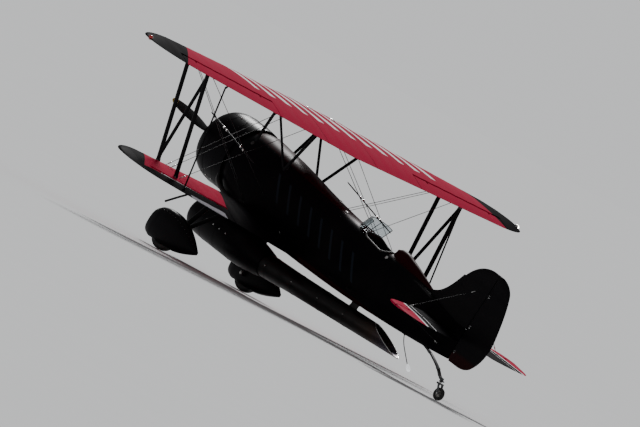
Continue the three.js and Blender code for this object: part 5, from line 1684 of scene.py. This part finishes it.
def interplane():
    s = strutSizes
    heads, feet = ([onWing(plan, s[y], s[share], face, 8) for share in ("front", "rear")]
                   for plan, y, face in ((upperPlan, "upperY", "bottom"), (lowerPlan, "lowerY", "top")))
    made = [strut(feet[k], heads[k], s["chord"], s["thick"], s["cuff"]) for k in (0, 1)]
    made.append(strut(feet[0] + (heads[0] - feet[0]) * 0.05, heads[1] + (feet[1] - heads[1]) * 0.05,
                      s["chord"] * 0.8, s["thick"] * 0.8, 0.1))
    for end, way in (*((foot, 1) for foot in feet), *((head, -1) for head in heads)):
        bolt = end + np.array([0, 0, 26.0 * way])
        made += [(*turned([(-4, 0), (-4, 30), (16, 28), (34, 16), (34, 0)], end, (0, 0, way), 18), 1),
                 (*rod(bolt - (0, 24, 0), bolt + (0, 24, 0), 6, 8, 1.5), 1)]
    return made


cabaneSizes = {"feet": (1370, 2210), "footY": 400, "footZ": 290, "heads": (1520, 2530), "headY": 530,
               "headZ": 1075, "section": (62, 26), "braceSection": (50, 21), "plateZ": 340}


def cabaneParts():
    s = cabaneSizes
    feet = [at(station, s["footY"], s["footZ"]) for station in s["feet"]]
    heads = [at(station, s["headY"], s["headZ"]) for station in s["heads"]]
    brace = feet[1] - heads[0]
    made = [strut(foot, head, *s["section"]) for foot, head in zip(feet, heads)]
    made.append(strut(heads[0] + brace * 0.02, feet[1] - brace * 0.04, *s["braceSection"]))
    for station in s["heads"]:
        low = float(foilHeights(upperPlan, s["headY"], station, False)[1])
        made.append((*turned([(-6, 0), (-6, 26), (10, 24), (24, 14), (24, 0)],
                             at(station, s["headY"], low), (0, 0, -1), 16), 1))
    for station in s["feet"]:
        foot = at(station + 20, hullSide(station, s["plateZ"]) + 1, s["plateZ"])
        made.append((*turned([(-6, 0), (-6, 34), (4, 32), (8, 22), (8, 0)], foot, (0, 1, 0.4), 16), 1))
    return made


# A wire with a turnbuckle near each end
def stay(a, b, radius=4.5):
    along = unit(b - a)
    buckle = [(0, 0), (0, 4), (10, 8), (30, 9), (60, 9), (80, 8), (90, 4), (90, 0)]
    return [rod(a, b, radius, 8), *((*turned(buckle, start, along, 10), 1)
                                   for start in (a + along * 60, b - along * 150))]


# The hull points are rows of (station, z)
stayEnds = {"inboard": 90, "rootY": 550, "rearRootY": 560,
            "hull": ((1960, -545), (2030, -545), (2950, -560)), "fin": (6700, 20, 640),
            "stern": (6640, 44, -400), "plane": ((6620, 1120, -106), (6620, 1120, -152)),
            "wingRadius": 5, "tailRadius": 3}
g = stayEnds
upperEnd, lowerEnd = (strutSizes[key] - g["inboard"] for key in ("upperY", "lowerY"))
mainHull, nextHull, rearHull = (onHull(*row) for row in g["hull"])
makeBoth("wingStruts", interplane(), [blackGloss, springSteel], "wing_struts")
makeBoth("cabaneStruts", cabaneParts(), [blackGloss, springSteel], "cabane_struts")
stays = (
    ("flyingStay", "flying_wire", stay(mainHull, onWing(upperPlan, upperEnd, 0.20, "bottom"),
                                       g["wingRadius"])),
    ("landingStay", "landing_wire", stay(onWing(upperPlan, g["rootY"], 0.20, "bottom"),
                                         onWing(lowerPlan, lowerEnd, 0.24, "top"), g["wingRadius"])),
    ("extraStays", "", [*stay(nextHull, onWing(upperPlan, upperEnd, 0.25, "bottom")),
                        *stay(rearHull, onWing(upperPlan, upperEnd, 0.60, "bottom")),
                        *stay(onWing(upperPlan, g["rearRootY"], 0.62, "bottom"),
                              onWing(lowerPlan, lowerEnd, 0.62, "top")),
                        *stay(onWing(upperPlan, g["rearRootY"], 0.30, "bottom"),
                              onWing(lowerPlan, lowerEnd, 0.34, "top"))]),
    ("tailStays", "", [part for end, plane in zip((g["fin"], g["stern"]), g["plane"])
                       for part in stay(at(*end), at(*plane), g["tailRadius"])]))
for name, stands, parts in stays:
    makeBoth(name, parts, [stayMetal, brightMetal], stands)

clampSizes = {"start": (1490, 1700, 490), "run": (1373, 0, -220), "direction": (-1, 0, -0.16),
              "rings": (0.30, 0.36, 0.68, 0.74)}
g = clampSizes
clampRod = [turned([(0, 0), (4, 5), (30, 10), (60, 11), (1290, 11), (1350, 9), (1388, 3), (1390, 0)],
                   at(*g["start"]), g["direction"], 16)]
clampRod += [(*turned([(-16, 0), (-16, 14), (-12, 16), (12, 16), (16, 14), (16, 0)],
                      at(*g["start"]) + share * at(*g["run"]), g["direction"], 16), 1)
             for share in g["rings"]]
makeBoth("stayClampRod", clampRod, [blackGloss, brightMetal])

lowPin, highPin = linkPin(lowerPlan, True)[0], linkPin(upperPlan, False)[0]
lowerHinge = unit(hingeLine(lowerPlan)[1] - hingeLine(lowerPlan)[0])
link = [strut(lowPin + (highPin - lowPin) * 0.012, highPin + (lowPin - highPin) * 0.006, 33, 15)]
link += [(*turned([(-8.6, bore), (-8.6, 11), (-7, 12), (7, 12), (8.6, 11), (8.6, bore)], pin, lowerHinge,
                  loop=True), 1) for pin, bore in ((lowPin, 5.6), (highPin, 4))]
makeBoth("aileronLink", link, [blackGloss, springSteel], "aileron_link", "aileron_link")

probe = [tube(through((2096, 1750, -640), (2090, 1750, -715), (1918, 1750, -875), (1745, 1750, -1035)),
              17, 14),
         turned([(-4, 0), (-4, 34), (6, 30), (12, 16), (12, 0)], at(2082, 1750, -632), (0, 0, -1), 16)]
make("airspeedProbe", probe, blackGloss)
print("struts and stays made")

glassSizes = {"front": 3900, "half": 235, "deep": 300, "thick": 5, "top": 538, "drop": 26, "lean": 0.55,
              "sweep": 80, "foot": 330, "posts": (-34, 34)}


def glassPoint(angle, z, inset=0.0):
    g = glassSizes
    x = -g["front"] - g["deep"] + (g["deep"] - inset) * math.cos(angle)
    return np.array([x - g["lean"] * (z - g["foot"]), (g["half"] - inset) * math.sin(angle), z])


# Where the glass meets the hull, found step by step because the glass leans
def glassBase(angle):
    z = 300.0
    for _ in range(8):
        point = glassPoint(angle, z)
        z = hullTop(-point[0], point[1]) - 2
    return z


def glassHeights(angle, count):
    top = glassSizes["top"] - glassSizes["drop"] * (abs(angle) / math.radians(glassSizes["sweep"])) ** 4
    return np.linspace(glassBase(angle), top, count)


glassAngles = np.radians(np.linspace(-glassSizes["sweep"], glassSizes["sweep"], 33))
glassRings = [[glassPoint(angle, z) for z in glassHeights(angle, 9)]
              + [glassPoint(angle, z, glassSizes["thick"]) for z in glassHeights(angle, 9)[::-1]]
              for angle in glassAngles]
make("windshieldGlass", [loft(glassRings)], glass, ("windshield",), smooth=50)
rimPath = [glassPoint(a, glassBase(a) + 3, 2) for a in glassAngles]
topPath = [glassPoint(a, glassHeights(a, 2)[1] - 2, 2) for a in glassAngles]
frameParts = [tube(rimPath, 7, 8), tube(topPath, 5, 8)]
for k in (0, -1):
    frameParts.append(tube([rimPath[k], (rimPath[k] + topPath[k]) / 2, topPath[k]], 6, 8))
for angle in np.radians(glassSizes["posts"]):
    frameParts.append(tube([glassPoint(angle, z, -1) for z in glassHeights(angle, 5)], 5, 8))
make("windshieldFrame", frameParts, blackGloss)
rivets("windshieldScrews", [[glassPoint(a, glassBase(a) + 5, -5) for a in glassAngles]], brightMetal, 36, 3.2)

coamingSizes = {"inset": 2, "lift": 6, "radius": 15, "fill": 0.8, "stitchPitch": 11, "stitch": 7,
                "thread": 1.6}
g = coamingSizes
rollBase = np.array([(-s, y, hullTop(s, y) + g["lift"]) for s, y in cockpitOutline(g["inset"], 22)])
roll = curve(np.vstack([rollBase, rollBase[:1]]), 3)[:-1]
rollRadius = g["radius"] + 1.2 * np.sin(np.arange(len(roll) + 2) * 2 * math.pi / 6)
coaming = make("cockpitCoaming", [tube(np.vstack([roll, roll[:2]]), rollRadius, 16)], blackLeather)
seam = grown("coamingStitches", "stitches", lineMesh([roll + (0, 0, 13.5)]), {
    "Spacing": g["stitchPitch"] * 0.001, "Length": g["stitch"] * 0.001, "Thickness": g["thread"] * 0.001,
    "Material": threadPale})
dress(seam, [threadPale])

lining = [levelRing(cockpitOutline(inset, 12), z) for inset, z in ((4, -427), (4, 150), (8, 150), (8, -427))]
liner = [loft([*lining, lining[0]], False), loft([levelRing(cockpitOutline(9, 12), z) for z in (-428, -422)])]
for way in (-1, 1):
    for a, b, radius in (((4330, -330), (4700, -338), 10), ((4330, -60), (4700, -68), 10),
                         ((4330, 90), (4700, 82), 10), ((4350, -326), (4680, -64), 8)):
        liner.append((*rod(at(a[0], way * 244, a[1]), at(b[0], way * 244, b[1]), radius), 1))
    liner.append((*rod(at(4470, way * 240, -330), at(4470, way * 240, 100), 9), 1))
liner += [box(at(4620, y - 4, -423), at(4240, y + 4, -417), 1.5) for y in (-160, -80, 0, 80, 160)]
make("cockpitLiner", liner, [interiorPaint, crackleGrey])

# Each dial has y, z and radius
boardSizes = {"front": 4232, "thick": 16, "half": 258, "low": -38, "high": 150, "crown": 56,
              "dials": [(-150, 120, 40), (-50, 130, 44), (50, 130, 44), (150, 120, 40), (-110, 30, 34),
                        (-20, 32, 34), (70, 30, 34), (160, 24, 28)]}
g = boardSizes
boardBack = g["front"] + g["thick"]
outline = [(g["half"] * math.cos(a), g["high"] + g["crown"] * math.sin(a))
           for a in np.linspace(0, math.pi, 25)]
outline = [(g["half"], g["low"]), *outline, (-g["half"], g["low"])]
board = [loft([[(-x, y, z) for y, z in outline] for x in (g["front"], boardBack)])]


def facing(profile, spot, slot, segments=28, loop=False):
    return (*turned(profile, spot, (-1, 0, 0), segments, loop), slot)


# A dial's tick or pointer, standing off the board by rise
def mark(spot, angle, inner, outer, rise, radius, segments):
    spot = spot + (-rise, 0, 0)
    direction = np.array([0, math.sin(angle), math.cos(angle)])
    return (*rod(spot + direction * inner, spot + direction * outer, radius, segments), 3)


for y, z, r in g["dials"]:
    spot = at(boardBack, y, z)
    board += [facing([(-4, r - 3), (-4, r + 3), (7, r + 3), (9, r), (9, r - 3)], spot, 1, loop=True),
              facing([(-4, 0), (-4, r - 3), (3, r - 3), (3, 0)], spot, 2),
              facing([(3, 0), (3, 3.2), (6, 3), (6, 0)], spot, 1, 10),
              mark(spot, math.radians(40 + y), 0, r - 9, 4.6, 1.2, 5)]
    board += [mark(spot, math.radians(30 * k), r - 10, r - 5, 3.4, 0.9, 4) for k in range(12)]
for k in range(6):
    knob = [(0, 0), (0, 8), (6, 7), (7, 3), (20, 2.6), (24, 4), (24, 0)]
    board.append((*turned(knob, at(boardBack, -200 + 80 * k, -18), (-1, 0, 0.3), 12), 1))
make("instrumentBoard", board, [dashPaint, brassMetal, dialFace, dialMark], ("instrument_panel",))

panSide = [(-4482, -426), (-4482, -280), (-4500, -272), (-4600, -306), (-4690, -292), (-4722, -30),
           (-4742, 126), (-4790, 126), (-4762, -230), (-4754, -426)]
panWing = [(-4490, -280), (-4520, -198), (-4600, -168), (-4690, -130), (-4716, -50), (-4736, -50),
           (-4700, -290), (-4600, -310)]
make("seatPan", [plate(panSide, (-198, -190, 190, 198)),
                 *(plate(panWing, (way * 188, way * 198)) for way in (-1, 1))], dashPaint, ("seat",))

cushionSizes = {"crown": 0.2, "channels": 5, "groove": 0.16, "grooveWidth": 0.08, "around": 32, "along": 28,
                "seatFill": 0.7, "headFill": 0.8}


# A crowned pad with sewn channels, each coordinate from -1 to 1: depth, rise, width
def cushionShape():
    g = cushionSizes
    rings = []
    for u in np.linspace(-1, 1, g["along"]):
        shrink = (1 - abs(u) ** 6) ** 0.45
        phase = (u + 1) / 2 * g["channels"] % 1
        groove = 1 - sum(g["groove"] * math.exp(-((phase - p) / g["grooveWidth"]) ** 2) for p in (0, 1))
        ring = []
        for angle in turns(g["around"], 0):
            side = np.sign(math.sin(angle)) * abs(math.sin(angle)) ** 0.5
            rise = np.sign(math.cos(angle)) * abs(math.cos(angle)) ** 0.7
            lift = g["crown"] * (1 - side ** 2) * (1 - u ** 2) if rise > 0 else 0
            ring.append((side * (0.96 + 0.04 * shrink) * max(shrink, 0.02),
                         rise * max(shrink, 0.02) * (groove if rise > 0 else 1) + lift, u))
        rings.append(ring)
    return np.array(rings)


depth, rise, width = np.moveaxis(cushionShape(), -1, 0)
for name, x, halfWidth, z, fill in (
        ("seatCushion", -4586 + depth * 96, 180, -254 + rise * 26, cushionSizes["seatFill"]),
        ("backCushion", -4709 + rise * 20 - depth * 24, 180, -58 + depth * 148, cushionSizes["seatFill"]),
        ("headCushion", -4866 - rise * 12, 84, 330 + depth * 62, cushionSizes["headFill"])):
    pad = loft(np.stack([x, width * halfWidth, z], axis=-1))
    make(name, [pad], brownLeather, smooth=70)

beltSizes = {"half": 22, "thick": 2.2, "buckleY": 64, "buckleFront": 4656, "buckleRear": 4668, "bevel": 1.5}
g, belts = beltSizes, []
for way in (-1, 1):
    belts.append(strip(through(*((s, way * y, z) for s, y, z in (
        (4716, 70, 130), (4700, 74, 122), (4672, 70, 40), (4664, 64, -80), (4640, 60, -176),
        (4580, 54, -206)))), g["half"], g["thick"]))
    for y0, y1, z0, z1 in ((-28, 28, -52, -46), (-28, 28, -26, -20), (-28, -22, -52, -20),
                           (22, 28, -52, -20), (-4, 4, -52, -20)):
        belts.append((*box(at(g["buckleRear"], way * g["buckleY"] + y0, z0),
                           at(g["buckleFront"], way * g["buckleY"] + y1, z1), g["bevel"]), 1))
make("shoulderBelts", belts, [beltCloth, brightMetal])

gripProfile = [(0, 0), (0, 13), (8, 17), (26, 15), (44, 17.5), (62, 15.5), (80, 17), (100, 16), (108, 11),
               (112, 0)]
stick = [tube(through((4400, 0, -428), (4394, 0, -300), (4376, 0, -60), (4370, 0, 30)), 11, 14),
         (*turned(gripProfile, at(4371, 0, 8), (0.05, 0, 1), 20), 1),
         (*turned([(0, 11), (0, 40), (14, 34), (50, 14), (60, 11)], at(4400, 0, -424), (0.02, 0, 1)), 1)]
make("stickAndGrip", stick, [engineMetal, rubber], ("control_stick",))
controls = []
for way in (-1, 1):
    controls += [box(at(4262, way * 110 - 40, -330), at(4250, way * 110 + 40, -250), 5),
                 rod(at(4256, way * 110, -420), at(4256, way * 110, -320), 8)]
controls.append(box(at(4520, 196, 20), at(4420, 216, 60), 4))
for base, head in ((4460, 4430), (4480, 4480)):
    controls += [rod(at(base, 204, 50), at(head, 196, 116), 4, 8),
                 (*turned([(-11, 0), (-9, 8), (0, 11), (9, 8), (11, 0)], at(head, 196, 120), (0, 1, 0),
                          14), 1)]
make("pedalsAndThrottle", controls, [engineMetal, rubber])
print("cockpit made")


lampSizes = {"fromTip": 50, "chordShare": 0.55, "lift": 6}


def tipLamp(label, side, material):
    y = upperPlan["half"] - lampSizes["fromTip"]
    lead, chord, _ = planAt(upperPlan, y)
    station = lead + lampSizes["chordShare"] * chord
    middle = float(foilHeights(upperPlan, y, station, False)[2])
    base = at(station, side * y, middle + lampSizes["lift"])
    lens = [(0, 0), (0, 38), (14, 38), (30, 32), (42, 18), (47, 0)]
    socket = [(-30, 0), (-30, 24), (-6, 40), (7, 41), (9, 36), (9, 0)]
    make(label, [turned(lens, base, (0, side, 0.1)), (*turned(socket, base, (0, side, 0.1)), 1)],
         [material, brightMetal])


tipLamp("tipLampLeft", 1, lampRed)
tipLamp("tipLampRight", -1, lampWhite)
caps = [turned([(-4, 0), (-4, 40), (6, 40), (9, 36), (9, 14), (14, 11), (14, 0)],
               at(station, y, hullTop(station, y)), (0, y / 1500, 1), 28)
        for station, y in ((3560, 120), (3120, -90))]
caps += [turned([(-4, 0), (-4, 30), (4, 28), (7, 20), (7, 0)], onHull(4900, 190) * (1, way, 1),
                (0, way, 0.5), 20)
         for way in (-1, 1)]
make("fuelCapsAndPlates", caps, brightMetal)
stepSizes = {"places": ((4300, -520), (4720, -500)), "half": 60, "reach": 86, "radius": 9}
half, steps = stepSizes["half"], []
for station, z in stepSizes["places"]:
    y = hullSide(station, z)
    steps.append(tube(through((station + half, y - 8, z), (station + half, y + 60, z - 30),
                              (station, y + stepSizes["reach"], z - 40),
                              (station - half, y + 60, z - 30), (station - half, y - 8, z)),
                      stepSizes["radius"]))
make("boardingSteps", steps, blackGloss)
make("exhaustStacks", [tube(through(
    (1120, way * 420, -330), (1200, way * 470, -420), (1300, way * 480, -480), (1460, way * 452, -540),
    (1620, way * 420, -570), steps=10), 40, 22) for way in (-1, 1)], pipeSteel)
filletEdge = bezier([(5620, 110), (5800, 180, 5960, 260), (6080, 330, 6190, 560), (6230, 650, 6250, 700)], 8)
make("finFillet", [loft([[at(x - grow * 0.5, y, z + grow) for x, z in filletEdge]
                         + [at(6330, y, 700), at(6330, y, 60), at(5620, y, 60)]
                         for y, grow in ((-24, -14), (-15, -2), (0, 0), (15, -2), (24, -14))])],
     finCloth, smooth=60)
# A spray tube from the belly. Its nozzle glows a little, a painted glint, though it is no lamp
nozzle = [(-40, 7), (-36, 13), (-10, 26), (20, 34), (60, 34), (84, 24), (94, 10), (96, 0)]
sprayTube = [tube(through((5860, 0, -596), (5880, 0, -640), (5960, 0, -730), (6120, 0, -850),
                          (6270, 0, -956)), 7),
             (*turned(nozzle, at(6280, 0, -962), (-0.83, 0, -0.55)), 1),
             turned([(-6, 0), (-6, 34), (4, 32), (8, 18), (8, 0)], at(5858, 0, -604), (0, 0, -1), 18)]
make("sprayTube", sprayTube, [blackGloss, nozzleWhite])
print("fittings made")

# The camera looks as the photograph does, with the parked aircraft 2.3 times larger in the frame
viewSizes = {"tighter": 2.3, "distance": 283.0, "focal": 8000.0, "width": 640,
             "right": (-0.5728, -0.6170, 0.5397), "up": (0.4476, 0.3162, 0.8365), "aim": (2980, 0, 60)}
right, up = (Vector((turn @ np.array(viewSizes[way])).tolist()).normalized() for way in ("right", "up"))
back = right.cross(up).normalized()
up = back.cross(right).normalized()
aim = Vector(toRow(at(*viewSizes["aim"])).tolist())
camera = linked("camera", bpy.data.cameras.new("camera"))
camera.matrix_world = Matrix.Translation(aim + back * viewSizes["distance"]) @ Matrix(
    (right, up, back)).transposed().to_4x4()
camera.data.sensor_width = 36
camera.data.lens = 36 * viewSizes["focal"] * viewSizes["tighter"] / viewSizes["width"]
camera.data.clip_start, camera.data.clip_end = 1.0, 3000
bpy.context.scene.camera = camera

lightSizes = {"sky": 0.26, "backdrop": 0.80, "backdropTint": (0.86, 0.87, 0.88, 1), "sun": 3.9,
              "sunSpread": 16, "sunFrom": (3.6, -3.3, 4.2)}
world = bpy.data.worlds.new("studio")
world.use_nodes = True
bpy.context.scene.world = world
backdrop = world.node_tree.nodes["Background"].inputs
backdrop["Color"].default_value = lightSizes["backdropTint"]
sky = Nodes(world.node_tree)
strength = sky.add("ShaderNodeMix", {0: sky.add("ShaderNodeLightPath", out="Is Camera Ray"),
                                     2: lightSizes["sky"], 3: lightSizes["backdrop"]}, data_type="FLOAT")
world.node_tree.links.new(strength, backdrop["Strength"])
sun = bpy.data.lights.new("keyLight", "SUN")
sun.energy, sun.angle = lightSizes["sun"], math.radians(lightSizes["sunSpread"])
linked("keyLight", sun).rotation_euler = Vector(lightSizes["sunFrom"]).to_track_quat("Z", "Y").to_euler()

floorSizes = {"radius": 900, "below": 0.002, "sides": 96, "noise": 0.35, "dark": (0.665, 0.67, 0.675),
              "light": (0.685, 0.69, 0.695)}
g = floorSizes
floorPaint = Paint("paleFloor", g["light"], 0.9, specular=0.0)
floorPaint.give("Base Color", floorPaint.mix(floorPaint.noise(floorPaint.own, g["noise"], 3.0), g["dark"],
                                             g["light"]))
floorMesh = bpy.data.meshes.new("floor")
floorMesh.from_pydata([(g["radius"] * math.cos(a), g["radius"] * math.sin(a), -g["below"])
                       for a in turns(g["sides"], 0)], [], [tuple(range(g["sides"]))])
floorMesh.materials.append(floorPaint.material)
linked("floor", floorMesh)
print("stage, lights and camera set")
